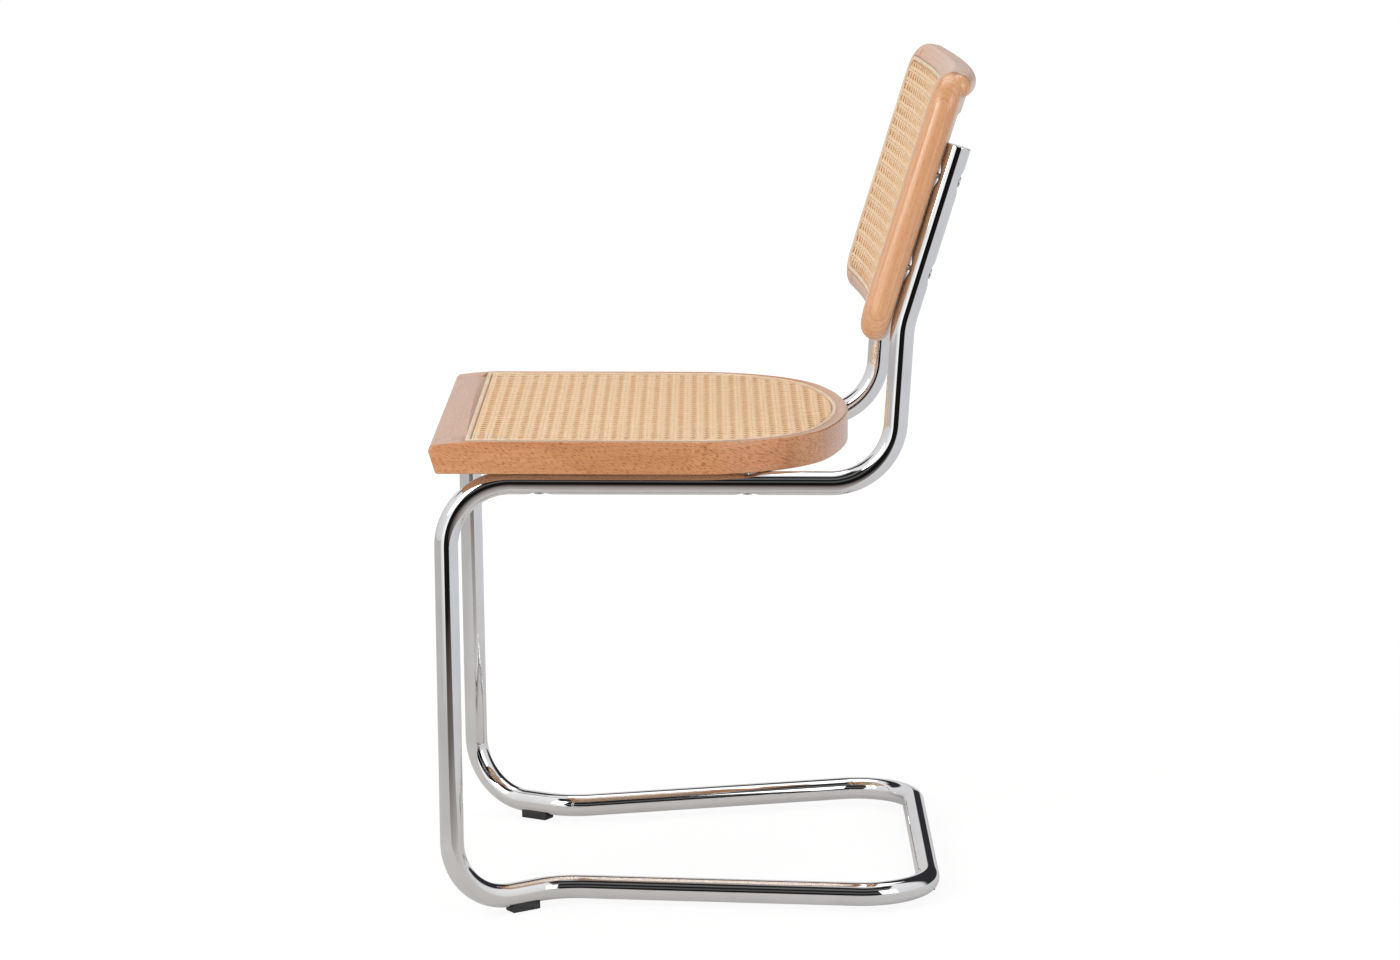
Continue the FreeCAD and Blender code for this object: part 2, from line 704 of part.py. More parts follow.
def seat_dowel_pegs():
    """Two dowels across each of the four joints of the seat frame."""
    pegs = []
    half, rise, length = (size(n) for n in ("seat_half", "seat_dowel_rise", "dowel_length"))
    for side in (1, -1):
        for step in (0, size("dowel_pitch")):
            inset = size("first_dowel_inset") + step
            long_start = Vector(side * (half - inset), size("seat_joint_setback") - length / 2, rise)
            pegs.append(peg("seat_dowel", "dowel_radius", "dowel_length", long_start, Vector(0, 1, 0)))
            nose_y = size("nose_run") / 2 + step
            cross_start = Vector(side * size("side_joint_x") - length / 2, nose_y, rise)
            pegs.append(peg("seat_dowel", "dowel_radius", "dowel_length", cross_start, Vector(1, 0, 0)))
    return pegs


def seat_screw_feet():
    """Point on the underside of the seat over each screw and the direction into the wood."""
    rows = [size("front_screw_y"), size("rear_screw_y")]
    return [(Vector(side * size("rail_x"), y, 0), Vector(0, 0, 1)) for y in rows for side in (1, -1)]


def back_screw_feet():
    """Point behind the back at each screw, clear of the tube, and the direction into the wood."""
    rows = [size("upper_screw_z"), size("lower_screw_z")]
    gap = -size("back_tube_gap")
    return [(Vector(side * size("rail_x"), gap, z), Vector(0, -1, 0)) for z in rows for side in (1, -1)]


def turned(name, points, start, direction):
    """A turned piece: a closed half profile of radius and length spun about its axis."""
    body = doc.addObject("PartDesign::Body", name)
    sketch = new_sketch(body, name + "_profile", "XZ_Plane")
    polygon(sketch, points)
    spin = body.newObject("PartDesign::Revolution", name + "_turning")
    spin.Profile = sketch
    spin.ReferenceAxis = (sketch, ["V_Axis"])
    spin.Angle = 360
    body.Placement = Placement(start, Rotation(Vector(0, 0, 1), direction))
    return body


def screws(name, feet):
    """A pan head screw at each foot, its head in the pressed flat of the tube."""
    rim = "head_radius - screw_head_height / 3"
    points = [
        ("0", "0"),
        (rim, "0"),
        ("head_radius", "screw_head_height / 2"),
        ("head_radius", "screw_head_height"),
        ("screw_radius", "screw_head_height"),
        ("screw_radius", "screw_head_height + screw_length"),
        ("0", "screw_head_height + screw_length"),
    ]
    back_off = size("head_seat") + size("screw_head_height")
    return [turned(name, points, foot - way * back_off, way) for foot, way in feet]


def inserts(name, feet):
    """A threaded sleeve sunk in the wood around each screw."""
    points = [
        ("screw_radius", "0"),
        ("insert_radius", "0"),
        ("insert_radius", "insert_length"),
        ("screw_radius", "insert_length"),
    ]
    return [turned(name, points, foot + way * size("insert_recess"), way) for foot, way in feet]


def insert_holes(name, feet):
    """Blind holes in the wood for the sleeves."""
    return [
        peg(name, "insert_radius", "insert_length + insert_recess * 2", foot - way * size("insert_recess"), way)
        for foot, way in feet
    ]


def member(name, frame, x, y, z):
    """The part of a frame between bound limits."""
    return common(name, frame, block(name + "_limits", x, y, z))


def seat():
    """Four members of beech, the dowels between them, the cane panel and its spline."""
    dowels = seat_dowel_pegs()
    feet = seat_screw_feet()
    tools = seat_groove() + dowels + insert_holes("seat_insert_hole", feet)
    frame = cut("seat_frame", seat_blank(), joined("seat_frame_tools", tools))
    ahead = ("-seat_depth", "seat_joint_setback")
    high = ("-seat_top", "seat_top * 2")
    bow_y = ("seat_joint_setback", "seat_depth * 2")
    return [
        lay_seat(member("seat_front_rail", frame, ("-side_joint_x", "side_joint_x"), ahead, high)),
        lay_seat(member("seat_side_rail_right", frame, ("side_joint_x", "seat_width"), ahead, high)),
        lay_seat(member("seat_side_rail_left", frame, ("-seat_width", "-side_joint_x"), ahead, high)),
        lay_seat(member("seat_rear_bow", frame, ("-seat_width", "seat_width"), bow_y, high)),
        lay_seat(joined("seat_dowels", dowels)),
        lay_seat(seat_cane()),
        lay_seat(seat_spline()),
        lay_seat(joined("seat_inserts", inserts("seat_insert", feet))),
        lay_seat(joined("seat_screws", screws("seat_screw", feet))),
    ]


def one_opening(middle, place):
    """Low and high limit of an opening of the cane grid, a number of pitches from a middle."""
    spot = "%s + %s * mesh_pitch" % (middle, place)
    return spot + " - mesh_opening / 2", spot + " + mesh_opening / 2"


def pitches(count_name):
    """Places of a number of openings, in pitches on both sides of their middle."""
    count = int(size(count_name))
    return [n - (count - 1) / 2 for n in range(count)]


def bars(name, limits):
    """Several boxes as one object."""
    result = doc.addObject("Part::Compound", name)
    result.Links = [block(name + "_bar", *limit) for limit in limits]
    return result


def mesh_openings(name, columns, rows, outline):
    """Plain grid of openings for the open weave: two sets of bars crossed, inside an outline."""
    return common(name, common(name + "_grid", bars(name + "_columns", columns), bars(name + "_rows", rows)),
                  outline)


def seat_cane():
    """Cane sheet of the seat with a grid of openings and its edge turned down into the groove."""
    sheet = seat_plate("tuck", "seat_top - ledge_depth", "seat_top - ledge_relief")
    rim = cut("seat_cane_rim",
              seat_plate("tuck", "seat_top - ledge_depth - cane_tuck", "seat_top - ledge_relief"),
              seat_plate("ledge", "0", "seat_top * 2"))
    across, deep, high = ("-seat_half", "seat_half"), ("0", "seat_depth"), ("0", "seat_top * 2")
    middle = "(nose_frame_width + seat_depth - seat_frame_width) / 2"
    openings = mesh_openings(
        "seat_mesh",
        [(one_opening("0", place), deep, high) for place in pitches("mesh_columns")],
        [(across, one_opening(middle, place), high) for place in pitches("seat_mesh_rows")],
        seat_plate("open", "0", "seat_top * 2"))
    return cut("seat_cane_panel", fused("seat_cane_sheet", [sheet, rim]), openings)


def seat_spline():
    """Spline that wedges the edge of the cane in the groove of the seat."""
    return cut("seat_spline",
               seat_plate("groove", "seat_top - spline_depth", "seat_top + spline_crown"),
               seat_plate("tuck", "0", "seat_top * 2"))


def fused(name, links):
    """Several touching objects as one solid."""
    result = doc.addObject("Part::MultiFuse", name)
    result.Shapes = links
    result.Refine = True
    return result


# Back

def plan_outline(sketch, _):
    """Plan of the curved back slab: two arcs about one centre and two straight ends."""
    half, depth, front = (size(n) for n in ("back_half", "back_curve_y", "back_curve_radius"))
    rear = front + size("back_thickness")
    middle = math.pi / 2
    front_turn, rear_turn = math.asin(half / front), math.asin(half / rear)
    front_y = depth + front * math.cos(front_turn)
    rear_y = depth + rear * math.cos(rear_turn)
    sketch.addGeometry([
        arc(0, depth, front, middle - front_turn, middle + front_turn),
        arc(0, depth, rear, middle - rear_turn, middle + rear_turn),
        Part.LineSegment(Vector(half, front_y, 0), Vector(half, rear_y, 0)),
        Part.LineSegment(Vector(-half, rear_y, 0), Vector(-half, front_y, 0)),
    ], False)
    for joint in ((0, 1, 2, 1), (2, 2, 1, 1), (1, 2, 3, 1), (3, 2, 0, 2), (0, 3, 1, 3)):
        sketch.addConstraint(Sketcher.Constraint("Coincident", *joint))
    for side in (2, 3):
        sketch.addConstraint(Sketcher.Constraint("Vertical", side))
    sketch.addConstraint(Sketcher.Constraint("Symmetric", 2, 1, 3, 2, UP_AXIS))
    measure(sketch, "DistanceY", "-back_curve_y", 0, 3, *ORIGIN)
    measure(sketch, "Radius", "back_curve_radius", 0)
    measure(sketch, "Radius", "back_curve_radius + back_thickness", 1)
    measure(sketch, "DistanceX", "back_half", *ORIGIN, 2, 1)


def off_centre(vertex):
    """Distance of a point from the upright axis that the back curves about."""
    return math.hypot(vertex.X, vertex.Y - size("back_curve_y"))


def back_slab():
    """Curved slab with round corners and softly rounded edges."""
    body = padded("back_slab", "XY_Plane", plan_outline, "edge", "back_height")
    front, rear = size("back_curve_radius"), size("back_curve_radius") + size("back_thickness")

    def corner(edge):
        box = edge.BoundBox
        return near(box.XLength, 0) and near(box.ZLength, 0)

    fillet(body, "back_corner_radius", corner)
    for radius, rounding in ((front, "back_front_rounding"), (rear, "back_rear_rounding")):
        fillet(body, rounding, lambda edge: all(near(off_centre(v), radius) for v in edge.Vertexes))
    return body


def roll():
    """Round bead along the rear of the top rail, with ball ends."""
    bead = make("Part::Torus", "roll_bead", Radius1="roll_path_radius", Radius2="roll_radius",
                Angle3="2 * asin(roll_end_x / roll_path_radius)")
    half_turn = math.degrees(math.asin(size("roll_end_x") / size("roll_path_radius")))
    bead.Placement.Rotation = Rotation(Vector(0, 0, 1), 90 - half_turn)
    bind(bead, "Placement.Base.y", "back_curve_y")
    bind(bead, "Placement.Base.z", "roll_z")
    balls = []
    for side in ("", "-"):
        ball = make("Part::Sphere", "roll_end", Radius="roll_radius")
        bind(ball, "Placement.Base.x", side + "roll_end_x")
        bind(ball, "Placement.Base.y", "roll_end_y")
        bind(ball, "Placement.Base.z", "roll_z")
        balls.append(ball)
    return [bead] + balls


def back_prism(ring):
    """Outline of the back, padded through the whole slab."""
    return padded("back_%s_prism" % ring, "XZ_Plane", back_outline, ring, "back_width", centred=True)


def back_layer(name, ring, shallow, deep):
    """Curved layer inside an outline, between two depths behind the front surface."""
    shells = []
    for depth in (deep, shallow):
        drum = make("Part::Cylinder", name + "_drum", Height="back_height * 2",
                    Radius="back_curve_radius + (%s)" % depth)
        bind(drum, "Placement.Base.y", "back_curve_y")
        bind(drum, "Placement.Base.z", "-back_height / 2")
        shells.append(drum)
    return common(name, cut(name + "_shell", *shells), back_prism(ring))


def back_cane():
    """Cane sheet of the back with a grid of openings and its edge turned back into the groove."""
    sheet = back_layer("back_cane_sheet", "tuck", "ledge_relief", "ledge_depth")
    rim = cut("back_cane_rim",
              back_layer("back_cane_edge", "tuck", "ledge_relief", "ledge_depth + cane_tuck"),
              back_prism("ledge"))
    across, through_all, high = ("-back_half", "back_half"), ("-back_half", "back_half"), ("0", "back_height")
    openings = mesh_openings(
        "back_mesh",
        [(one_opening("0", place), through_all, high) for place in pitches("mesh_columns")],
        [(across, through_all, one_opening("back_height / 2", place)) for place in pitches("back_mesh_rows")],
        back_prism("open"))
    return cut("back_cane_panel", fused("back_cane_cover", [sheet, rim]), openings)


def back_spline():
    """Spline that wedges the edge of the cane in the groove of the back."""
    return cut("back_spline", back_layer("back_spline_ring", "groove", "-spline_crown", "spline_depth"),
               back_prism("tuck"))


def back_groove():
    """Everything cut out of the back under the cane: opening, ledge and spline groove."""
    ring = cut("back_groove_ring", back_layer("back_groove_band", "groove", "-back_thickness", "groove_depth"),
               back_prism("ledge"))
    ledge = back_layer("back_ledge", "groove", "-back_thickness", "ledge_depth")
    return [ring, ledge, back_prism("open")]


def back_dowel_pegs():
    """Two dowels across each of the four joints of the back frame."""
    pegs = []
    path = size("back_curve_radius") + size("back_dowel_setback")
    turn = math.asin(size("back_joint_x") / path)
    length = size("dowel_length")
    for side in (1, -1):
        along = Vector(math.cos(turn), -side * math.sin(turn), 0)
        middle = Vector(side * size("back_joint_x"), size("back_curve_y") + path * math.cos(turn), 0)
        for step in (0, size("dowel_pitch")):
            inset = size("first_dowel_inset") + step
            for z in (inset, size("back_height") - inset):
                start = middle + Vector(0, 0, z) - along * (length / 2)
                pegs.append(peg("back_dowel", "dowel_radius", "dowel_length", start, along))
    return pegs


def back():
    """Two rails and two stiles of beech, the dowels, the cane panel and its spline."""
    dowels = back_dowel_pegs()
    feet = back_screw_feet()
    blank = fused("back_blank", [back_slab()] + roll())
    tools = back_groove() + dowels + insert_holes("back_insert_hole", feet)
    frame = cut("back_frame", blank, joined("back_frame_tools", tools))
    rail_x = ("-back_joint_x", "back_joint_x")
    deep = ("-back_width", "back_width")
    upper = ("back_height / 2", "back_height * 2")
    lower = ("-back_height", "back_height / 2")
    whole = ("-back_height", "back_height * 2")
    return [
        lay_back(member("back_top_rail", frame, rail_x, deep, upper)),
        lay_back(member("back_bottom_rail", frame, rail_x, deep, lower)),
        lay_back(member("back_stile_right", frame, ("back_joint_x", "back_width"), deep, whole)),
        lay_back(member("back_stile_left", frame, ("-back_width", "-back_joint_x"), deep, whole)),
        lay_back(joined("back_dowels", dowels)),
        lay_back(back_cane()),
        lay_back(back_spline()),
        lay_back(joined("back_inserts", inserts("back_insert", feet))),
        lay_back(joined("back_screws", screws("back_screw", feet))),
    ]


# Caps and glides

def tube_end_caps():
    """Flat polished plug in each open end of the tube."""
    play = "bore_radius - cap_play"
    points = [
        ("0", "0"),
        (play, "0"),
        (play, "cap_spigot"),
        ("tube_radius", "cap_spigot"),
        ("tube_radius", "cap_spigot + cap_thickness - cap_edge"),
        ("tube_radius - cap_edge", "cap_spigot + cap_thickness"),
        ("0", "cap_spigot + cap_thickness"),
    ]
    caps = []
    for tip, below in ((p[0], p[1]) for p in (right_corners, mirrored(right_corners))):
        axis = (tip - below).normalize()
        caps.append(turned("end_cap", points, tip - axis * size("cap_spigot"), axis))
    return joined("tube_end_caps", caps)


def glide(point, turn):
    """Glide with a saddle for the tube and a stem into its underside."""
    body = doc.addObject("PartDesign::Body", "glide")
    foot = new_sketch(body, "glide_foot", "XY_Plane")
    block_outline(foot, "glide_length / 2", "glide_width / 2")
    pad = body.newObject("PartDesign::Pad", "glide_block")
    pad.Profile = foot
    bind(pad, "Length", "glide_top")
    saddle = new_sketch(body, "glide_saddle", "YZ_Plane")
    round_hole(saddle, "base_z", "tube_radius")
    through(body, saddle)
    stem = new_sketch(body, "glide_stem_outline", "XY_Plane")
    round_hole(stem, "0", "glide_stem / 2")
    rod = body.newObject("PartDesign::Pad", "glide_stem_rod")
    rod.Profile = stem
    bind(rod, "Length", "glide_height + glide_stem_length")
    fillet(body, "glide_edge", lambda edge: near(edge.BoundBox.ZMax, 0))
    body.Placement = Placement(point, Rotation(Vector(0, 0, 1), turn))
    return body


def block_outline(sketch, half_x, half_y):
    """A rectangle about the origin."""
    x, y = cell_value(half_x), cell_value(half_y)
    corners = [Vector(-x, -y, 0), Vector(x, -y, 0), Vector(x, y, 0), Vector(-x, y, 0)]
    sketch.addGeometry([Part.LineSegment(corners[n], corners[(n + 1) % 4]) for n in range(4)], False)
    link_ends(sketch, [(n, (n + 1) % 4) for n in range(4)], "Coincident")
    for side, kind in ((0, "Horizontal"), (1, "Vertical"), (2, "Horizontal"), (3, "Vertical")):
        sketch.addConstraint(Sketcher.Constraint(kind, side))
    sketch.addConstraint(Sketcher.Constraint("Symmetric", 0, 1, 2, 1, *ORIGIN))
    measure(sketch, "DistanceX", half_x, *ORIGIN, 2, 1)
    measure(sketch, "DistanceY", half_y, *ORIGIN, 2, 1)


def round_hole(sketch, rise, radius):
    """A circle on the upright axis of a sketch."""
    circle = Part.Circle(Vector(0, cell_value(rise), 0), Vector(0, 0, 1), cell_value(radius))
    sketch.addGeometry(circle, False)
    sketch.addConstraint(Sketcher.Constraint("PointOnObject", 0, 3, UP_AXIS))
    measure(sketch, "DistanceY", rise, *ORIGIN, 0, 3)
    measure(sketch, "Radius", radius, 0)


def glides():
    """Front pair and rear pair of glides."""
    stations = [glide(point, turn) for point, turn in glide_stations()]
    return [joined("front_glides", stations[:2]), joined("rear_glides", stations[2:])]


def chair():
    """Every sub-part of the chair."""
    loose = [frame_tube(), tube_end_caps()] + glides()
    return [settle(piece) for piece in loose] + seat() + back()


def check_features():
    """Stop at a feature that did not compute."""
    for thing in doc.Objects:
        if {"Invalid", "Error"} & set(thing.State):
            raise RuntimeError("%s: %s" % (thing.Name, thing.getStatusString()))


def centre(pieces):
    """Move the chair so that the middle of its bounding box lies on Y = 0."""
    boxes = [piece.Shape.optimalBoundingBox(False) for piece in pieces]
    middle = (min(box.YMin for box in boxes) + max(box.YMax for box in boxes)) / 2
    row = 1 + [name for name, _ in PLACES].index("middle")
    places.set("B%d" % row, "=%.6f" % middle)
    doc.recompute()


def export(pieces):
    """Write one file for each sub-part."""
    os.makedirs("parts", exist_ok=True)
    for piece in pieces:
        shape = piece.Shape
        if shape.isNull() or not shape.isValid():
            raise RuntimeError("bad shape: " + piece.Label)
        shape.exportStep("parts/%s.step" % piece.Label)


pieces = chair()
doc.recompute()
check_features()
centre(pieces)
check_features()
export(pieces)
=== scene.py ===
"""Looks of the cantilever chair: chromed tube, beech frames, woven cane, splines, screws, glides.

Metres throughout. +Z up, floor at Z = 0, X across the chair, the sitter faces -Y.
"""

import math

import bmesh
import bpy
import numpy as np
from mathutils import Matrix, Vector


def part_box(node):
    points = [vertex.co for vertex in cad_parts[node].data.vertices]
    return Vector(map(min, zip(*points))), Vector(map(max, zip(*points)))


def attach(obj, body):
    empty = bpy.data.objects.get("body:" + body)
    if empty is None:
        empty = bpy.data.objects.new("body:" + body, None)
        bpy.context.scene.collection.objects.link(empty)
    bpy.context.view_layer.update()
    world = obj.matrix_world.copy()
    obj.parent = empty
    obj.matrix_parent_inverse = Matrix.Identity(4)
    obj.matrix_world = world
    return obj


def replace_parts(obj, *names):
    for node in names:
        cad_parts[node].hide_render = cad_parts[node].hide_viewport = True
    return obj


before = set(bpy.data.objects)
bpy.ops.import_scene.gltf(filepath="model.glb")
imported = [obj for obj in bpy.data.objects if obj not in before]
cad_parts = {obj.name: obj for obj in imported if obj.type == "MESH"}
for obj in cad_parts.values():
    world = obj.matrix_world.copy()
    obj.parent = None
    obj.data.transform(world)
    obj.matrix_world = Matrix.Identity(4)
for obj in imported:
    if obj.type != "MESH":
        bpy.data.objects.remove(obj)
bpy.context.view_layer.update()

# Frame tube
TUBE_RADIUS = 0.0115
BORE_RADIUS = 0.0095
BEND_RADIUS = 0.062
KINK_RADIUS = 0.078
RAIL_X = 0.207
RAIL_HEIGHT = 0.431
RAIL_LENGTH = 0.4265  # front corner to rear corner of the seat rail, in Y
SEAT_TILT = math.radians(1.4)
UPRIGHT_LEAN = math.radians(4.7)
BACK_LEAN = math.radians(18.2)
KINK_HEIGHT = 0.573
UPRIGHT_REACH = 0.176  # kink to open end
FOOT = (0.221, -0.0044)  # corners of the base on the right, X and Y
WAIST = (0.157, 0.095)
REAR = (0.2225, 0.459)
GLIDE_RISE = 0.0056
BASE_Z = GLIDE_RISE + TUBE_RADIUS
CRIMP_DEPTH = 0.0024  # flats pressed by a cross rod
CRIMP_RADIUS = 0.024
CRIMP_SOFTNESS = 0.0006
CRIMP_REACH = 0.017
CRIMP_SAMPLED = 0.016  # half length sampled closely
CONTACT_GAP = 0.0002
TUBE_SIDES = 64
STRAIGHT_STEP = 0.02
ARC_STEP = math.radians(2.5)

# Plugs in the tube's open ends
BORE_DEPTH = 0.0102  # plug spigot plus a little air
PLUG_SPIGOT = 0.010
PLUG_SLACK = 0.00005
PLUG_HEAD = 0.0016
PLUG_RIM = 0.0006
PLUG_FLAT = 0.006  # radius of the last ring but one

# Screws
FRONT_SCREW = 0.090  # from the front corner of the seat rail
SEAT_SCREW_SPACING = 0.199
UPPER_SCREW = 0.031  # from the open end
BACK_SCREW_SPACING = 0.091
SCREW_SIDES = 72
SCREW_BITE = 0.016
SHANK_RADIUS = 0.0025
HEAD_RADIUS = 0.005
HEAD_RISE = 0.0018
HEAD_FLAT = 0.0038  # radius where the dome meets the edge round
HEAD_CROWN = 0.0004
HEAD_EDGE = 0.0009
HEAD_RINGS = 26
RECESS_REACH = 0.0026
RECESS_ARM = 0.00045
RECESS_DEPTH = 0.0013
RECESS_ROUND = 0.0030
NEAR_AXIS = 0.0001  # radius of the first ring

# Seat
SEAT_FRONT = 0.014  # wood in front of the tube's corner
SEAT_HALF = 0.230
SEAT_DEPTH = 0.4055
SEAT_THICKNESS = 0.031
SEAT_CORNER = 0.140
SEAT_BOW = 0.420  # radius of the rear
SEAT_LAND = 0.011  # wood outside the groove, at the sides and rear
NOSE_LAND = 0.034  # and at the nose
SPLINE_WIDTH = 0.0043
SPLINE_DEPTH = 0.007
SPLINE_CROWN = 0.0005
SPLINE_DOME = 0.0006
OUTLINE_POINTS = 40

# Back
BACK_HALF = 0.225
BACK_HEIGHT = 0.266
BACK_BELOW_TIP = 0.200  # bottom of the back under the open end, along the lean
BACK_CURVE = 1.280  # radius of the front surface
BACK_THICKNESS = 0.028
BACK_CORNER = 0.036
BACK_LAND = 0.017

# Cane
CANE_PITCH = 0.0127  # half an inch
PAIR_GAP = 0.0032  # between the middles of a pair
STRAND_WIDTH = 0.0025
STRAND_THICKNESS = 0.0010
STRAND_WAVE = 0.00042
DIAGONAL_WAVE = 0.00055
SLANT_WIDTH = STRAND_WIDTH * 0.92
SLANT_STEPS = 12
SHEET_LEVEL = 0.0011  # middle of the weave under the wood's face
CANE_EDGE = SPLINE_WIDTH * 0.4  # strands end this far inside the groove's outer side
TUCK_START = 0.0062  # from a strand's end, where it starts to sink into the groove
TUCK_RUN = 0.004
TUCK_DEPTH = 0.0022

# Camera, solved from the photograph
PHOTO_WIDTH = 1400
FOCAL_PIXELS = 4177.84
SENSOR_WIDTH = 36.0
CAMERA_PLACE = (4.13558, 0.2632, 1.11438)
CAMERA_PITCH = 0.173
CAMERA_YAW = -0.005
CAMERA_ROLL = -0.022

# Places that follow from the sizes above
REAR_CORNER_Z = RAIL_HEIGHT - RAIL_LENGTH * math.tan(SEAT_TILT)
KINK_Y = RAIL_LENGTH + (KINK_HEIGHT - REAR_CORNER_Z) * math.tan(UPRIGHT_LEAN)
TIP_Y = KINK_Y + UPRIGHT_REACH * math.sin(BACK_LEAN)
TIP_Z = KINK_HEIGHT + UPRIGHT_REACH * math.cos(BACK_LEAN)
# The tube is drawn from its front corner, then moved so that the chair is centred on the origin.
MIDDLE = TIP_Y + TUBE_RADIUS * math.cos(BACK_LEAN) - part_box("frame_tube")[1][1]
SHIFT = np.array([0.0, -MIDDLE, 0.0])
SEAT_BOTTOM = RAIL_HEIGHT + (TUBE_RADIUS + CONTACT_GAP) / math.cos(SEAT_TILT)
CURVE_Y = -math.sqrt((BACK_CURVE + BACK_THICKNESS + TUBE_RADIUS + CONTACT_GAP) ** 2 - RAIL_X ** 2)
BACK_FOOT_Y = TIP_Y - BACK_BELOW_TIP * math.sin(BACK_LEAN)
BACK_FOOT_Z = TIP_Z - BACK_BELOW_TIP * math.cos(BACK_LEAN)
BOW_GRAIN_Y = 0.2  # point that the bow's grain runs round


# Meshes from arrays

def new_piece(name, points, faces, material):
    """A smoothly shaded mesh piece of the chair from vertex and face arrays."""
    mesh = bpy.data.meshes.new(name)
    mesh.from_pydata(np.asarray(points).tolist(), [], faces)
    mesh.polygons.foreach_set("use_smooth", np.ones(len(mesh.polygons), bool))
    mesh.update()
    piece = bpy.data.objects.new(name, mesh)
    bpy.context.scene.collection.objects.link(piece)
    mesh.materials.append(material)
    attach(piece, "root")
    return piece


def grid_faces(rows, columns, closed_rows=False):
    """Quads of a grid whose columns close on themselves, and whose rows close when asked."""
    last = rows if closed_rows else rows - 1
    r = np.arange(last)[:, None]
    c = np.arange(columns)[None, :]
    after_r = (r + 1) % rows
    after_c = (c + 1) % columns
    quads = [r * columns + c, r * columns + after_c,
             after_r * columns + after_c, after_r * columns + c]
    return np.stack(quads, axis=-1).reshape(-1, 4)


def capped_faces(rows, columns, base=0):
    """Faces of a grid of closed rings, with a face across the first ring and the last."""
    faces = (grid_faces(rows, columns) + base).tolist()
    first = base + np.arange(columns)
    return faces + [first[::-1].tolist(), (first + (rows - 1) * columns).tolist()]


def face_outwards(piece):
    """Turn a closed mesh's faces outwards."""
    work = bmesh.new()
    work.from_mesh(piece.data)
    bmesh.ops.recalc_face_normals(work, faces=work.faces)
    work.to_mesh(piece.data)
    work.free()


def unit(v):
    """A vector at length one."""
    v = np.asarray(v, float)
    return v / np.linalg.norm(v)


# Frame tube

def tube_corners():
    """Corners of the tube's centre line from the right tip round to the left tip."""
    right = np.array([
        (RAIL_X, TIP_Y, TIP_Z),
        (RAIL_X, KINK_Y, KINK_HEIGHT),
        (RAIL_X, RAIL_LENGTH, REAR_CORNER_Z),
        (RAIL_X, 0, RAIL_HEIGHT),
        (FOOT[0], FOOT[1], BASE_Z),
        (WAIST[0], WAIST[1], BASE_Z),
        (REAR[0], REAR[1], BASE_Z),
    ])
    left = right[::-1] * np.array([-1, 1, 1])
    return np.concatenate([right, left])


def screw_stations():
    """Each right screw: point on the tube's axis, way into the wood and way along the tube."""
    along_rail = np.array([0, math.cos(SEAT_TILT), -math.sin(SEAT_TILT)])
    up = np.array([0, math.sin(SEAT_TILT), math.cos(SEAT_TILT)])
    along_back = np.array([0, math.sin(BACK_LEAN), math.cos(BACK_LEAN)])
    forward = np.array([0, -math.cos(BACK_LEAN), math.sin(BACK_LEAN)])
    corner = np.array([RAIL_X, 0, RAIL_HEIGHT])
    tip = np.array([RAIL_X, TIP_Y, TIP_Z])
    return [
        (corner + along_rail * FRONT_SCREW, up, along_rail),
        (corner + along_rail * (FRONT_SCREW + SEAT_SCREW_SPACING), up, along_rail),
        (tip - along_back * UPPER_SCREW, forward, along_back),
        (tip - along_back * (UPPER_SCREW + BACK_SCREW_SPACING), forward, along_back),
    ]


def all_stations():
    """The screw stations of both sides."""
    flip = np.array([-1, 1, 1])
    right = screw_stations()
    return right + [(p * flip, d * flip, t * flip) for p, d, t in right]


def tube_path():
    """Centre line of straight runs and tangent arcs, with a turning frame that never twists.

    Straight runs are sampled closely at the pressed flats. Each arc turns point and frame about its
    own axis, and starts a radius times the tangent of half its turn before the corner."""
    corners = tube_corners()
    radii = [KINK_RADIUS] + [BEND_RADIUS] * 5
    radii = radii + radii[::-1]
    spots = np.array([p for p, _, _ in all_stations()])
    points, sides, ups = [], [], []
    start = corners[0]
    ahead = unit(corners[1] - corners[0])
    side = np.array([1.0, 0, 0])
    for index, corner in enumerate(corners[1:-1]):
        out = unit(corners[index + 2] - corner)
        turn = math.acos(np.clip(ahead @ out, -1, 1))
        reach = radii[index] * math.tan(turn / 2)
        first = corner - ahead * reach
        length = np.linalg.norm(first - start)
        along = np.linspace(0, length, max(2, int(length / STRAIGHT_STEP)))
        near = (spots - start) @ ahead
        off = np.linalg.norm(spots - start - near[:, None] * ahead, axis=1)
        for spot in near[(off < 0.001) & (near > 0) & (near < length)]:
            along = np.concatenate([along, spot + np.linspace(-CRIMP_SAMPLED, CRIMP_SAMPLED, 41)])
        along = np.unique(np.clip(along, 0, length))
        points.append(start + along[:, None] * ahead)
        sides.append(np.repeat(side[None], len(along), 0))
        ups.append(np.repeat(np.cross(ahead, side)[None], len(along), 0))
        axis = unit(np.cross(ahead, out))
        centre = first + radii[index] * np.cross(axis, ahead)
        angles = np.linspace(0, turn, max(3, int(turn / ARC_STEP)))[1:-1]
        points.append(centre + turned_about(first - centre, axis, angles))
        sides.append(turned_about(side, axis, angles))
        ups.append(turned_about(np.cross(ahead, side), axis, angles))
        side = turned_about(side, axis, np.array([turn]))[0]
        start = corner + out * reach
        ahead = out
    points.append(np.stack([start, corners[-1]]))
    sides.append(np.repeat(side[None], 2, 0))
    ups.append(np.repeat(np.cross(ahead, side)[None], 2, 0))
    return np.concatenate(points), np.concatenate(sides), np.concatenate(ups)


def turned_about(v, axis, angles):
    """A vector turned about an axis by each of several angles."""
    v = np.asarray(v, float)
    cos, sin = np.cos(angles)[:, None], np.sin(angles)[:, None]
    return v * cos + np.cross(axis, v) * sin + axis * (axis @ v) * (1 - cos)


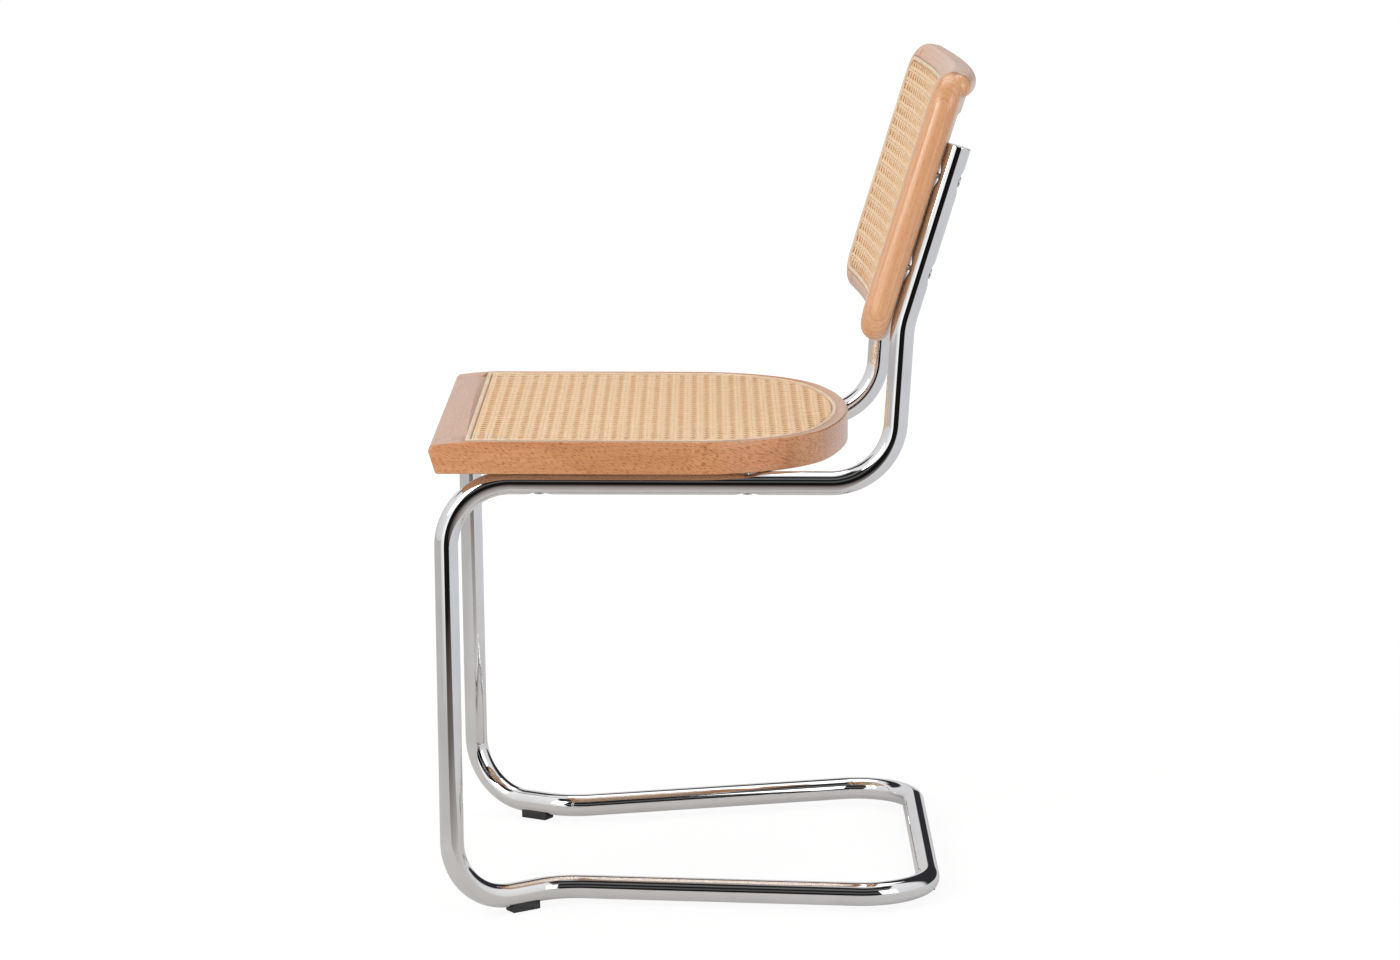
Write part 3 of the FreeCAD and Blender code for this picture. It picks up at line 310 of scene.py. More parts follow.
def pressed(points):
    """Flats pressed into the tube: each point is held under the surface of a cross rod.

    Along the tube the rod's surface rises as a circle. Its meeting with the round tube is eased by
    a soft minimum, softness * log(1 + exp(gap / softness))."""
    for spot, into, along in all_stations():
        offset = points - spot
        run = offset @ along
        close = (np.abs(run) < CRIMP_REACH) & (np.linalg.norm(offset, axis=-1) < 0.03)
        for face in (1, -1):
            height = offset @ (into * face)
            dip = np.clip(CRIMP_RADIUS ** 2 - run ** 2, 1e-9, None)
            limit = TUBE_RADIUS + CRIMP_RADIUS - CRIMP_DEPTH - np.sqrt(dip)
            gap = (height - limit) / CRIMP_SOFTNESS
            drop = CRIMP_SOFTNESS * np.log1p(np.exp(np.clip(gap, -40, 40)))
            drop = np.where(close & (height > 0), drop, 0)
            points = points - drop[..., None] * into * face
            offset = points - spot
    return points


def frame_tube(material):
    """Rings about the centre line, with a short open bore at each end for the plugs."""
    path, side, up = tube_path()
    around = np.linspace(0, 2 * np.pi, TUBE_SIDES, endpoint=False)[None, :, None]
    circle = np.cos(around) * side[:, None] + np.sin(around) * up[:, None]
    rings = pressed(path[:, None] + TUBE_RADIUS * circle)
    ahead, behind = unit(path[1] - path[0]), unit(path[-1] - path[-2])
    start_bore = [path[0] + ahead * d + BORE_RADIUS * circle[0] for d in (BORE_DEPTH, 0)]
    end_bore = [path[-1] - behind * d + BORE_RADIUS * circle[-1] for d in (0, BORE_DEPTH)]
    rings = np.concatenate([start_bore, rings, end_bore])
    faces = capped_faces(len(rings), TUBE_SIDES)
    piece = new_piece("chromed_tube", rings.reshape(-1, 3) + SHIFT, faces, material)
    face_outwards(piece)
    keep_edges(piece, 50)
    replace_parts(piece, "frame_tube")


def keep_edges(piece, degrees):
    """Smooth shading, except across edges sharper than an angle."""
    piece.data.set_sharp_from_angle(angle=math.radians(degrees))


def spun(name, profile, places, material):
    """Turned piece at several places: a half profile of radius and length spun about each axis."""
    around = np.linspace(0, 2 * np.pi, TUBE_SIDES, endpoint=False)
    radius, length = np.array(profile).T
    points, faces = [], []
    for spot, axis in places:
        axis = unit(axis)
        side = unit(np.cross(axis, [1.0, 0.1, 0.2]))
        up = np.cross(axis, side)
        circle = np.cos(around)[:, None] * side + np.sin(around)[:, None] * up
        rings = spot + length[:, None, None] * axis + radius[:, None, None] * circle[None]
        faces += capped_faces(len(profile), TUBE_SIDES, len(points) * len(profile) * TUBE_SIDES)
        points.append(rings.reshape(-1, 3))
    piece = new_piece(name, np.concatenate(points) + SHIFT, faces, material)
    face_outwards(piece)
    keep_edges(piece, 40)
    return piece


def tube_plugs(material):
    """Flat polished plug in each open end, its rim eased by a small quarter round."""
    corners = tube_corners()
    places = [(corners[0], corners[0] - corners[1]), (corners[-1], corners[-1] - corners[-2])]
    bend = np.linspace(0, np.pi / 2, 6)
    rim = [(TUBE_RADIUS - PLUG_RIM + PLUG_RIM * math.cos(a),
            PLUG_HEAD - PLUG_RIM + PLUG_RIM * math.sin(a)) for a in bend]
    spigot = BORE_RADIUS - PLUG_SLACK
    profile = [(spigot, -PLUG_SPIGOT), (spigot, 0), (TUBE_RADIUS, 0)] + rim
    profile += [(PLUG_FLAT, PLUG_HEAD), (NEAR_AXIS, PLUG_HEAD)]
    piece = spun("tube_plugs", profile, places, material)
    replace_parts(piece, "tube_end_caps")


def screw_profile():
    """Radius and height of a screw's rings: flat dome, quarter-round edge, underside and shank."""
    head_lift = CRIMP_RADIUS - math.sqrt(CRIMP_RADIUS ** 2 - HEAD_RADIUS ** 2)
    seat = TUBE_RADIUS - CRIMP_DEPTH + head_lift
    shank = TUBE_RADIUS * 2 - CRIMP_DEPTH + CONTACT_GAP + head_lift + SCREW_BITE
    bend = np.linspace(0.1, np.pi / 2, 8)
    dome_r = np.linspace(NEAR_AXIS, HEAD_FLAT, HEAD_RINGS)
    edge_r = HEAD_FLAT + (HEAD_RADIUS - HEAD_FLAT) * np.sin(bend)
    dome_z = HEAD_RISE - HEAD_CROWN * (dome_r / HEAD_FLAT) ** 2
    edge_z = HEAD_RISE - HEAD_CROWN - HEAD_EDGE * (1 - np.cos(bend))
    radius = np.concatenate([dome_r, edge_r, [HEAD_RADIUS, SHANK_RADIUS, SHANK_RADIUS]])
    height = np.concatenate([dome_z, edge_z, [0.0, 0.0, -shank]])
    return radius[:, None], height[:, None], seat


def screw_set(name, node, stations, material):
    """Pan head screws: a domed head with a cross recess sunk into it, and the shank behind.

    The head is a polar grid. The recess lowers points inside either bar of the cross, less toward
    the ends of the bars: depth * (1 - (distance / round) ** 2)."""
    radius, height, seat = screw_profile()
    around = np.linspace(0, 2 * np.pi, SCREW_SIDES, endpoint=False)
    x, y = radius * np.cos(around), radius * np.sin(around)
    out = np.hypot(x, y)
    bar = (np.minimum(np.abs(x), np.abs(y)) < RECESS_ARM) & (out < RECESS_REACH)
    sunk = np.where(bar, RECESS_DEPTH * (1 - (out / RECESS_ROUND) ** 2), 0)
    sunk[HEAD_RINGS:] = 0
    z = height - sunk
    points, faces = [], []
    for spot, into, along in stations:
        side, up = unit(along), unit(np.cross(into, along))
        rings = spot - into * (seat + z[..., None]) + x[..., None] * side + y[..., None] * up
        faces += capped_faces(len(rings), SCREW_SIDES, len(points) * len(rings) * SCREW_SIDES)
        points.append(rings.reshape(-1, 3))
    piece = new_piece(name, np.concatenate(points) + SHIFT, faces, material)
    face_outwards(piece)
    keep_edges(piece, 35)
    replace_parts(piece, node)


# Frames of the seat and the back

def seat_to_row(points):
    """Seat's own frame, from the tip of its underside, to the row frame."""
    cos, sin = math.cos(SEAT_TILT), math.sin(SEAT_TILT)
    x, y, z = points[..., 0], points[..., 1] - SEAT_FRONT, points[..., 2]
    return np.stack([x, y * cos + z * sin, z * cos - y * sin + SEAT_BOTTOM], axis=-1) + SHIFT


def row_to_seat(points):
    """Row frame to the seat's own frame."""
    cos, sin = math.cos(SEAT_TILT), math.sin(SEAT_TILT)
    p = points - SHIFT
    y, z = p[..., 1], p[..., 2] - SEAT_BOTTOM
    return np.stack([p[..., 0], y * cos - z * sin + SEAT_FRONT, y * sin + z * cos], axis=-1)


def back_to_row(across, depth, height):
    """Back's curved frame to the row frame: width on the front surface, depth behind it, height.

    A point at a given width and depth lies on a circle about the axis that the back curves about,
    at the turn whose sine is the width over the radius. Height runs up the lean."""
    radius = BACK_CURVE + depth
    sin_turn = across / BACK_CURVE
    x = radius * sin_turn
    y = CURVE_Y + radius * np.sqrt(1 - sin_turn ** 2)
    cos, sin = math.cos(BACK_LEAN), math.sin(BACK_LEAN)
    lean_y = y * cos + height * sin + BACK_FOOT_Y
    lean_z = height * cos - y * sin + BACK_FOOT_Z
    return np.stack([x, lean_y, lean_z], axis=-1) + SHIFT


def row_to_back(points):
    """Row frame to width along the back, depth behind its front surface and height up its lean."""
    cos, sin = math.cos(BACK_LEAN), math.sin(BACK_LEAN)
    p = points - SHIFT
    v, w = p[..., 1] - BACK_FOOT_Y, p[..., 2] - BACK_FOOT_Z
    y, height = v * cos - w * sin, v * sin + w * cos
    radius = np.hypot(p[..., 0], y - CURVE_Y)
    across = np.arctan2(p[..., 0], y - CURVE_Y) * BACK_CURVE
    return np.stack([across, radius - BACK_CURVE, height], axis=-1)


# Beech

def merged_copy(node, name, material, degrees):
    """Copy of a CAD node with shared vertices and smooth shading up to an angle."""
    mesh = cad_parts[node].data.copy()
    mesh.name = name
    work = bmesh.new()
    work.from_mesh(mesh)
    bmesh.ops.remove_doubles(work, verts=work.verts, dist=0.00001)
    work.to_mesh(mesh)
    work.free()
    mesh.materials.clear()
    mesh.materials.append(material)
    mesh.polygons.foreach_set("use_smooth", np.ones(len(mesh.polygons), bool))
    piece = bpy.data.objects.new(name, mesh)
    bpy.context.scene.collection.objects.link(piece)
    keep_edges(piece, degrees)
    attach(piece, "root")
    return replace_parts(piece, node)


def wood_piece(node, name, grain, material):
    """Beech member of the CAD, with the run of its grain as an attribute."""
    piece = merged_copy(node, name, material, 32)
    places = np.empty(len(piece.data.vertices) * 3)
    piece.data.vertices.foreach_get("co", places)
    run = piece.data.attributes.new("grain", "FLOAT_VECTOR", "POINT")
    run.data.foreach_set("vector", grain(places.reshape(-1, 3)).astype(np.float32).ravel())
    even = piece.modifiers.new("even_normals", "WEIGHTED_NORMAL")
    even.keep_sharp = True


def grain_across(shift):
    """Grain along X, for the front rail of the seat: along, across and through the member."""
    return lambda p: row_to_seat(p) + shift


def grain_deep(shift):
    """Grain along the depth of the seat, for its side rails."""
    return lambda p: row_to_seat(p)[..., [1, 0, 2]] + shift


def grain_bow(p):
    """Grain round the rear bow: length round a point of the seat, distance from it and height."""
    local = row_to_seat(p)
    x, y = local[..., 0], local[..., 1] - BOW_GRAIN_Y
    return np.stack([np.arctan2(y, x) * BOW_GRAIN_Y, np.hypot(x, y), local[..., 2]], axis=-1)


def grain_back_rail(shift):
    """Grain along the curve of the back."""
    return lambda p: row_to_back(p)[..., [0, 2, 1]] + shift


def grain_stile(shift):
    """Grain up the lean of the back."""
    return lambda p: row_to_back(p)[..., [2, 0, 1]] + shift


# Outlines of the cane and its spline

def seat_arcs(side):
    """Sizes of the seat outline set in by side: half width, radii of corner and bow, and centres.

    The bow's centre is on the middle line at bow_y. The corner's is at across and corner_y, where
    the two arcs run into each other: the centres are apart by the difference of the radii."""
    half, corner, bow = SEAT_HALF - side, SEAT_CORNER - side, SEAT_BOW - side
    bow_y = SEAT_DEPTH - SEAT_BOW
    across = half - corner
    corner_y = bow_y + math.sqrt((bow - corner) ** 2 - across ** 2)
    return half, corner, bow, bow_y, across, corner_y


def seat_distance(x, y, side, nose):
    """Signed distance to the seat outline set in by side and nose: below zero inside.

    Inside is the overlap of a band, a front line, a bow circle and, behind the corners, two corner
    circles."""
    half, corner, bow, bow_y, across, corner_y = seat_arcs(side)
    ax = np.abs(x)
    sides = np.maximum(ax - half, nose - y)
    rear = np.hypot(ax, y - bow_y) - bow
    round_corner = np.hypot(ax - across, y - corner_y) - corner
    turn = (corner_y - bow_y) / across
    in_corner = (y > corner_y) & ((y - bow_y) < turn * ax)
    behind = np.where(in_corner, round_corner, rear)
    return np.where(y > corner_y, np.maximum(behind, nose - y), np.maximum(sides, rear))


def back_distance(x, z, inset):
    """Signed distance to the back outline set in by inset: a rectangle with round corners."""
    corner = BACK_CORNER - inset
    half_x = BACK_HALF - inset - corner
    half_z = BACK_HEIGHT / 2 - inset - corner
    dx = np.abs(x) - half_x
    dz = np.abs(z - BACK_HEIGHT / 2) - half_z
    outside = np.hypot(np.maximum(dx, 0), np.maximum(dz, 0))
    return outside + np.minimum(np.maximum(dx, dz), 0) - corner


# Woven cane

def strand_profile(width):
    """Flat strand seen on end: slightly domed skin above, flatter pith below."""
    across = np.array([-0.5, -0.30, 0.30, 0.5, 0.42, -0.42]) * width
    high = np.array([0.05, 0.5, 0.5, 0.05, -0.5, -0.5]) * STRAND_THICKNESS
    return across, high


def weave_family(lines, steps, direction, level, distance, width):
    """One family of parallel strands as a grid of line number, step along and point of the profile.

    Points lie on the line plus a step along it, raised by the wave of the weave, and are kept where
    the outline has them inside. Returns points, faces and the run of each point: its place along
    the strand, across it and the place of the strand in its family."""
    across, high = strand_profile(width)
    along = unit(direction)
    side = np.array([-along[1], along[0]])
    u = lines[:, None] + 0 * steps[None, :]
    s = steps[None, :] + 0 * lines[:, None]
    centre = s[..., None] * along + u[..., None] * side
    lift = level(u, s, centre)
    flat = centre[:, :, None, :] + across[None, None, :, None] * side
    z = lift[:, :, None] + high[None, None, :]
    inside = distance(centre[..., 0], centre[..., 1]) < 0
    count = len(across)
    index = np.arange(u.size).reshape(u.shape)
    pair = inside[:, :-1] & inside[:, 1:]
    first = index[:, :-1][pair] * count
    after = index[:, 1:][pair] * count
    edge = np.arange(count)
    following = (edge + 1) % count
    quads = np.stack([first[:, None] + edge, first[:, None] + following,
                      after[:, None] + following, after[:, None] + edge], axis=-1).reshape(-1, 4)
    before = np.pad(inside, ((0, 0), (1, 0)))[:, :-1]
    ahead = np.pad(inside, ((0, 0), (0, 1)))[:, 1:]
    starts, ends = inside & ~before & ahead, inside & before & ~ahead
    caps = np.concatenate([index[starts][:, None] * count + edge,
                           index[ends][:, None] * count + edge[::-1]])
    points = np.concatenate([flat, z[..., None]], axis=-1).reshape(-1, 3)
    run = np.stack([np.repeat(s[..., None], count, -1), across + 0 * s[..., None],
                    np.repeat(u[..., None], count, -1)], axis=-1).reshape(-1, 3)
    used = np.unique(np.concatenate([quads.ravel(), caps.ravel()]))
    renumber = np.zeros(len(points), int)
    renumber[used] = np.arange(len(used))
    faces = renumber[quads].tolist() + renumber[caps].tolist()
    return points[used], faces, run[used]


def near_block(s):
    """Distance along a strand to the nearest crossing of pairs."""
    return (s + CANE_PITCH / 2) % CANE_PITCH - CANE_PITCH / 2


def pair_wave(u, s, centre):
    """Level of a strand of a pair: over one strand of each crossing pair and under the other.

    A sine of half a turn per strand gap inside the crossing, and flat between crossings."""
    place = near_block(s)
    wave = np.where(np.abs(place) < PAIR_GAP, np.sin(np.pi * place / PAIR_GAP), 0)
    return -np.sign(near_block(u)) * STRAND_WAVE * wave


def diagonal_wave(sign):
    """Level of a slanted strand: over one kind of pair, under the other, a cosine of the pitch."""
    turn = 2 * np.pi / CANE_PITCH
    return lambda u, s, centre: -sign * DIAGONAL_WAVE * np.cos(turn * centre[..., 0])


def weave(half_x, half_y):
    """The four families that cover a panel: name, lines, steps, direction, level and width."""
    most = int(math.hypot(half_x, half_y) / CANE_PITCH) + 2
    blocks = np.arange(-most, most + 1) * CANE_PITCH
    pairs = (blocks[:, None] + np.array([-0.5, 0.5]) * PAIR_GAP).ravel()
    offsets = np.array([-PAIR_GAP, -PAIR_GAP / 2, 0, PAIR_GAP / 2, PAIR_GAP, CANE_PITCH / 2])
    steps = (blocks[:, None] + offsets).ravel()
    root = math.sqrt(2)
    slants = (blocks + CANE_PITCH / 2) / root
    reach = SLANT_STEPS * most
    slant_steps = np.arange(-reach, reach + 1) * CANE_PITCH * root / SLANT_STEPS
    return [
        ("across", pairs, steps, (1, 0), pair_wave, STRAND_WIDTH),
        ("deep", pairs, steps, (0, 1), pair_wave, STRAND_WIDTH),
        ("slant_right", slants, slant_steps, (1, 1), diagonal_wave(1), SLANT_WIDTH),
        ("slant_left", slants, slant_steps, (1, -1), diagonal_wave(-1), SLANT_WIDTH),
    ]


def cane(name, node, half_x, half_y, distance, place, materials):
    """Woven panel: four families of strands on a flat or curved sheet, tucked under the spline."""
    pieces = []
    for family, lines, steps, direction, level, width in weave(half_x, half_y):
        points, faces, run = weave_family(lines, steps, direction, level, distance, width)
        rim = distance(points[:, 0], points[:, 1])
        tuck = np.clip((rim + TUCK_START) / TUCK_RUN, 0, 1)
        points[:, 2] -= TUCK_DEPTH * tuck * tuck
        piece = new_piece(f"{name}_{family}", place(points), faces, materials[family])
        face_outwards(piece)
        tone = piece.data.attributes.new("strand", "FLOAT_VECTOR", "POINT")
        tone.data.foreach_set("vector", run.astype(np.float32).ravel())
        pieces.append(piece)
    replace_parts(pieces[0], node)


def seat_cane(materials):
    """Cane of the seat, flat, a little under the top of the wood."""
    middle = (NOSE_LAND + SEAT_DEPTH) / 2
    level = SEAT_THICKNESS - SHEET_LEVEL

    def inside(x, y):
        """Signed distance to the line where the strands end."""
        return seat_distance(x, y + middle, SEAT_LAND + CANE_EDGE, NOSE_LAND + CANE_EDGE)

    def place(p):
        """From the middle of the panel to the row frame."""
        return seat_to_row(np.stack([p[:, 0], p[:, 1] + middle, p[:, 2] + level], axis=-1))

    cane("seat_cane", "seat_cane_panel", SEAT_HALF, middle, inside, place, materials)


def back_cane(materials):
    """Cane of the back, bent to the curve of the frame."""
    middle = BACK_HEIGHT / 2

    def inside(x, z):
        """Signed distance to the line where the strands end."""
        return back_distance(x, z + middle, BACK_LAND + CANE_EDGE)

    def place(p):
        """From the middle of the panel to the curve of the back."""
        depth = SHEET_LEVEL - p[:, 2]
        return back_to_row(p[:, 0], depth, p[:, 1] + middle)

    cane("back_cane", "back_cane_panel", BACK_HALF, middle, inside, place, materials)


# Splines

def seat_outline(side, nose):
    """Points and outward normals round the seat outline set in by side and nose."""
    half, corner, bow, bow_y, across, corner_y = seat_arcs(side)
    turn = math.atan2(corner_y - bow_y, across)

    def arc(x, y, radius, angles):
        """Points and normals of a circle about x, y at several angles."""
        cos, sin = np.cos(angles), np.sin(angles)
        return np.stack([x + radius * cos, y + radius * sin, cos, sin], axis=-1)

    right = arc(across, corner_y, corner, np.linspace(0, turn, OUTLINE_POINTS))
    rear = arc(0, bow_y, bow, np.linspace(turn, np.pi - turn, OUTLINE_POINTS)[1:])
    left = (right * [-1, 1, -1, 1])[::-1][1:]
    front = np.array([(-half, nose, -1, -1), (half, nose, 1, -1)])
    ring = np.concatenate([right, rear, left, front])
    return ring[:, :2], ring[:, 2:]


def back_ring(inset):
    """Points and outward normals round the back outline set in by inset."""
    corner = BACK_CORNER - inset
    x, z = BACK_HALF - inset - corner, BACK_HEIGHT / 2 - inset - corner
    quarter = np.linspace(0, np.pi / 2, 14)
    points, normals = [], []
    for turn, cx, cz in ((0, x, z), (1, -x, z), (2, -x, -z), (3, x, -z)):
        angle = quarter + turn * np.pi / 2
        normal = np.stack([np.cos(angle), np.sin(angle)], axis=-1)
        points.append(np.array([cx, cz + BACK_HEIGHT / 2]) + corner * normal)
        normals.append(normal)
        if turn in (0, 2):
            blend = np.linspace(0, 1, OUTLINE_POINTS)[1:-1, None]
            ahead = np.array([-cx, cz + BACK_HEIGHT / 2]) + corner * normal[-1]
            points.append(points[-1][-1] * (1 - blend) + ahead * blend)
            normals.append(np.repeat(normal[-1:], len(blend), 0))
    return np.concatenate(points), np.concatenate(normals)


def spline_profile():
    """Section of the spline: flat bottom, upright sides and a softly domed crown."""
    dome = np.linspace(0, np.pi, 9)
    across = np.concatenate([[0.5, -0.5], -0.5 * np.cos(dome)]) * SPLINE_WIDTH
    crown = SPLINE_CROWN + SPLINE_DOME
    high = np.concatenate([[-SPLINE_DEPTH] * 2, SPLINE_CROWN - crown + crown * np.sin(dome)])
    return across, high


def spline(name, node, ring, normals, place, material):
    """Section of the spline carried round a closed outline."""
    across, high = spline_profile()
    flat = ring[:, None] + across[None, :, None] * normals[:, None]
    points = place(flat[..., 0], flat[..., 1], high[None, :] + 0 * flat[..., 0])
    faces = grid_faces(len(ring), len(across), closed_rows=True).tolist()
    piece = new_piece(name, points.reshape(-1, 3), faces, material)
    face_outwards(piece)
    keep_edges(piece, 40)
    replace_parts(piece, node)


def splines(material):
    """Both splines on the middle lines of their grooves."""
    middle = SPLINE_WIDTH / 2

    def on_seat(x, y, h):
        """Height over the seat's wood to the row frame."""
        return seat_to_row(np.stack([x, y, h + SEAT_THICKNESS], axis=-1))

    def on_back(x, z, h):
        """Height over the back's front surface to the row frame."""
        return back_to_row(x, -h, z)

    ring, normals = seat_outline(SEAT_LAND + middle, NOSE_LAND + middle)
    spline("seat_reed", "seat_spline", ring, normals, on_seat, material)
    ring, normals = back_ring(BACK_LAND + middle)
    spline("back_reed", "back_spline", ring, normals, on_back, material)


# Materials

def colour(red, green, blue):
    """Linear colour of a display colour from 0 to 255."""
    channels = np.array([red, green, blue]) / 255
    linear = np.where(channels <= 0.04045, channels / 12.92, ((channels + 0.055) / 1.055) ** 2.4)
    return (*linear.tolist(), 1.0)


class Nodes:
    """A node tree with short ways to add to it."""

    def __init__(self, tree):
        self.tree = tree

    def node(self, kind, **values):
        """A node with some of its inputs or settings filled in."""
        made = self.tree.nodes.new(kind)
        for key, value in values.items():
            label = key.replace("_", " ")
            if label in made.inputs:
                made.inputs[label].default_value = value
            else:
                setattr(made, key, value)
        return made

    def link(self, out, into):
        """Join two sockets."""
        self.tree.links.new(out, into)

    def feed(self, value, socket):
        """Fill a socket from another socket or with a value."""
        if hasattr(value, "is_linked"):
            self.link(value, socket)
        else:
            socket.default_value = value

    def object_place(self):
        """Object coordinates."""
        return self.node("ShaderNodeTexCoord").outputs["Object"]

    def attribute(self, name):
        """A vector attribute of the piece."""
        found = self.node("ShaderNodeAttribute")
        found.attribute_name = name
        return found.outputs["Vector"]

    def stretched(self, vector, x, y, z):
        """A vector scaled on each axis."""
        scale = self.node("ShaderNodeVectorMath", operation="MULTIPLY")
        self.link(vector, scale.inputs[0])
        scale.inputs[1].default_value = (x, y, z)
        return scale.outputs[0]

    def noise(self, vector, scale, detail):
        """Noise from 0 to 1."""
        noise = self.node("ShaderNodeTexNoise", Scale=scale, Detail=detail, Roughness=0.5)
        self.link(vector, noise.inputs["Vector"])
        return noise.outputs["Fac"]

    def ramp(self, factor, *stops):
        """Colour ramp of place and colour pairs."""
        ramp = self.node("ShaderNodeValToRGB")
        marks = ramp.color_ramp.elements
        while len(marks) < len(stops):
            marks.new(0.5)
        for mark, (place, tone) in zip(marks, stops):
            mark.position = place
            mark.color = tone
        self.link(factor, ramp.inputs["Fac"])
        return ramp.outputs["Color"]

    def mix(self, factor, one, other, blend="MIX"):
        """Mix of two colours or sockets."""
        mix = self.node("ShaderNodeMix", data_type="RGBA", blend_type=blend)
        self.feed(factor, mix.inputs["Factor"])
        self.feed(one, mix.inputs[6])
        self.feed(other, mix.inputs[7])
        return mix.outputs[2]

    def shader_mix(self, factor, one, other):
        """Mix of two shaders."""
        mix = self.node("ShaderNodeMixShader")
        for out, socket in zip((factor, one, other), mix.inputs):
            self.link(out, socket)
        return mix.outputs[0]

    def sum(self, operation, one, other):
        """Result of a sum of two values or sockets."""
        made = self.node("ShaderNodeMath", operation=operation)
        for socket, value in zip(made.inputs, (one, other)):
            self.feed(value, socket)
        return made.outputs[0]

    def parts(self, vector):
        """The three parts of a vector."""
        split = self.node("ShaderNodeSeparateXYZ")
        self.link(vector, split.inputs[0])
        return [split.outputs[axis] for axis in "XYZ"]

    def eased(self, value, start, end, low=0.0, high=1.0):
        """A value's run from start to end, carried over to low and high and held outside."""
        span = self.node("ShaderNodeMapRange", From_Min=start, From_Max=end,
                         To_Min=low, To_Max=high)
        self.link(value, span.inputs["Value"])
        return span.outputs["Result"]


class Finish(Nodes):
    """A procedural material and the shader it ends in."""

    def __init__(self, name, roughness, metallic=0.0, coat=0.0):
        self.material = bpy.data.materials.new(name)
        self.material.use_nodes = True
        super().__init__(self.material.node_tree)
        self.shader = self.tree.nodes["Principled BSDF"]
        self.shader.inputs["Roughness"].default_value = roughness
        self.shader.inputs["Metallic"].default_value = metallic
        self.shader.inputs["Coat Weight"].default_value = coat
        self.shader.inputs["Coat Roughness"].default_value = 0.2

    def bump(self, height, strength, distance):
        """Bump from a height."""
        bump = self.node("ShaderNodeBump", Strength=strength, Distance=distance)
        self.link(height, bump.inputs["Height"])
        self.link(bump.outputs["Normal"], self.shader.inputs["Normal"])

    def paint(self, tone):
        """Base colour."""
        self.link(tone, self.shader.inputs["Base Color"])

    def rough(self, factor, low, high):
        """Roughness that runs between two values."""
        self.link(self.eased(factor, 0.0, 1.0, low, high), self.shader.inputs["Roughness"])

    def surface(self, shader):
        """Put a shader at the end of the material."""
        self.link(shader, self.tree.nodes["Material Output"].inputs["Surface"])


WHITE = (1, 1, 1, 1)
# Distance from a strand's middle over which the painted shade of its sides fades in.
STRAND_SHADE_BAND = (0.00104, 0.00120)


def grey(*tones):
    """Grey stops of a ramp from place and tone pairs."""
    return [(place, (tone, tone, tone, 1)) for place, tone in tones]


def beech(name, light, dark, fleck, lean, ring):
    """Steamed beech under satin lacquer.

    Year rings are layers across the board, seen as arcs where an edge is rounded. Over them lie
    soft bands, fine long streaks and short dark flecks that lean a little to the grain."""
    finish = Finish(name, 0.42, coat=0.8)
    run = finish.attribute("grain")
    bands = finish.noise(finish.stretched(run, 3.0, 60, 40), 1.0, 3.0)
    streaks = finish.noise(finish.stretched(run, 16, 800, 800), 1.0, 2.0)
    turned = finish.node("ShaderNodeVectorRotate", rotation_type="Y_AXIS", Angle=lean)
    finish.link(run, turned.inputs["Vector"])
    dashes = finish.noise(finish.stretched(turned.outputs[0], 190, 1000, 1700), 1.0, 1.0)
    rings = finish.node("ShaderNodeTexWave", wave_type="BANDS", bands_direction="Y",
                        wave_profile="SAW", Scale=1.0, Distortion=5.0, Detail=2.0,
                        Detail_Scale=0.6)
    finish.link(finish.stretched(run, 3.0, 75, 6), rings.inputs["Vector"])
    body = finish.ramp(bands, (0.30, dark), (0.70, light))
    year = finish.ramp(rings.outputs["Fac"], (0.0, WHITE), (0.75, WHITE), (1.0, ring))
    body = finish.mix(1.0, body, year, "MULTIPLY")
    fine = finish.ramp(streaks, (0.35, (0.88, 0.85, 0.82, 1)), (0.65, WHITE))
    body = finish.mix(1.0, body, fine, "MULTIPLY")
    spots = finish.ramp(dashes, (0.54, WHITE), (0.64, fleck))
    finish.paint(finish.mix(1.0, body, spots, "MULTIPLY"))
    finish.rough(bands, 0.36, 0.48)
    finish.bump(spots, 0.10, 0.0002)
    return finish.material


def cane_strand(name, light, dark, side):
    """Cane skin: glossy straw that varies by strand, finely lined, cut sides in painted shade."""
    finish = Finish(name, 0.38, coat=0.2)
    run = finish.attribute("strand")
    across = finish.sum("ABSOLUTE", finish.parts(run)[1], 0.0)
    # Painted shade: each strand's sides are mixed toward dark brown, up to side, for the shade in
    # the gaps between strands.
    edge = finish.eased(across, *STRAND_SHADE_BAND, 0.0, side)
    each = finish.noise(finish.stretched(run, 3, 0, 260), 1.0, 1.0)
    lines = finish.noise(finish.stretched(run, 60, 4500, 900), 1.0, 1.0)
    body = finish.ramp(each, (0.32, dark), (0.68, light))
    skin = finish.ramp(lines, (0.35, (0.84, 0.80, 0.74, 1)), (0.62, WHITE))
    finish.paint(finish.mix(edge, finish.mix(1.0, body, skin, "MULTIPLY"), colour(150, 88, 40)))
    finish.rough(lines, 0.32, 0.5)
    finish.bump(lines, 0.25, 0.0001)
    return finish.material


def reed(name):
    """Reed of the splines: pale, fine fibre lines and small darker pores."""
    finish = Finish(name, 0.5, coat=0.1)
    place = finish.object_place()
    cloud = finish.noise(place, 40, 3.0)
    fibre = finish.noise(finish.stretched(place, 900, 900, 900), 1.0, 1.0)
    body = finish.ramp(cloud, (0.3, colour(224, 196, 164)), (0.7, colour(238, 218, 192)))
    pores = finish.ramp(fibre, (0.30, (0.84, 0.79, 0.72, 1)), (0.5, WHITE))
    finish.paint(finish.mix(1.0, body, pores, "MULTIPLY"))
    finish.bump(fibre, 0.15, 0.0001)
    return finish.material


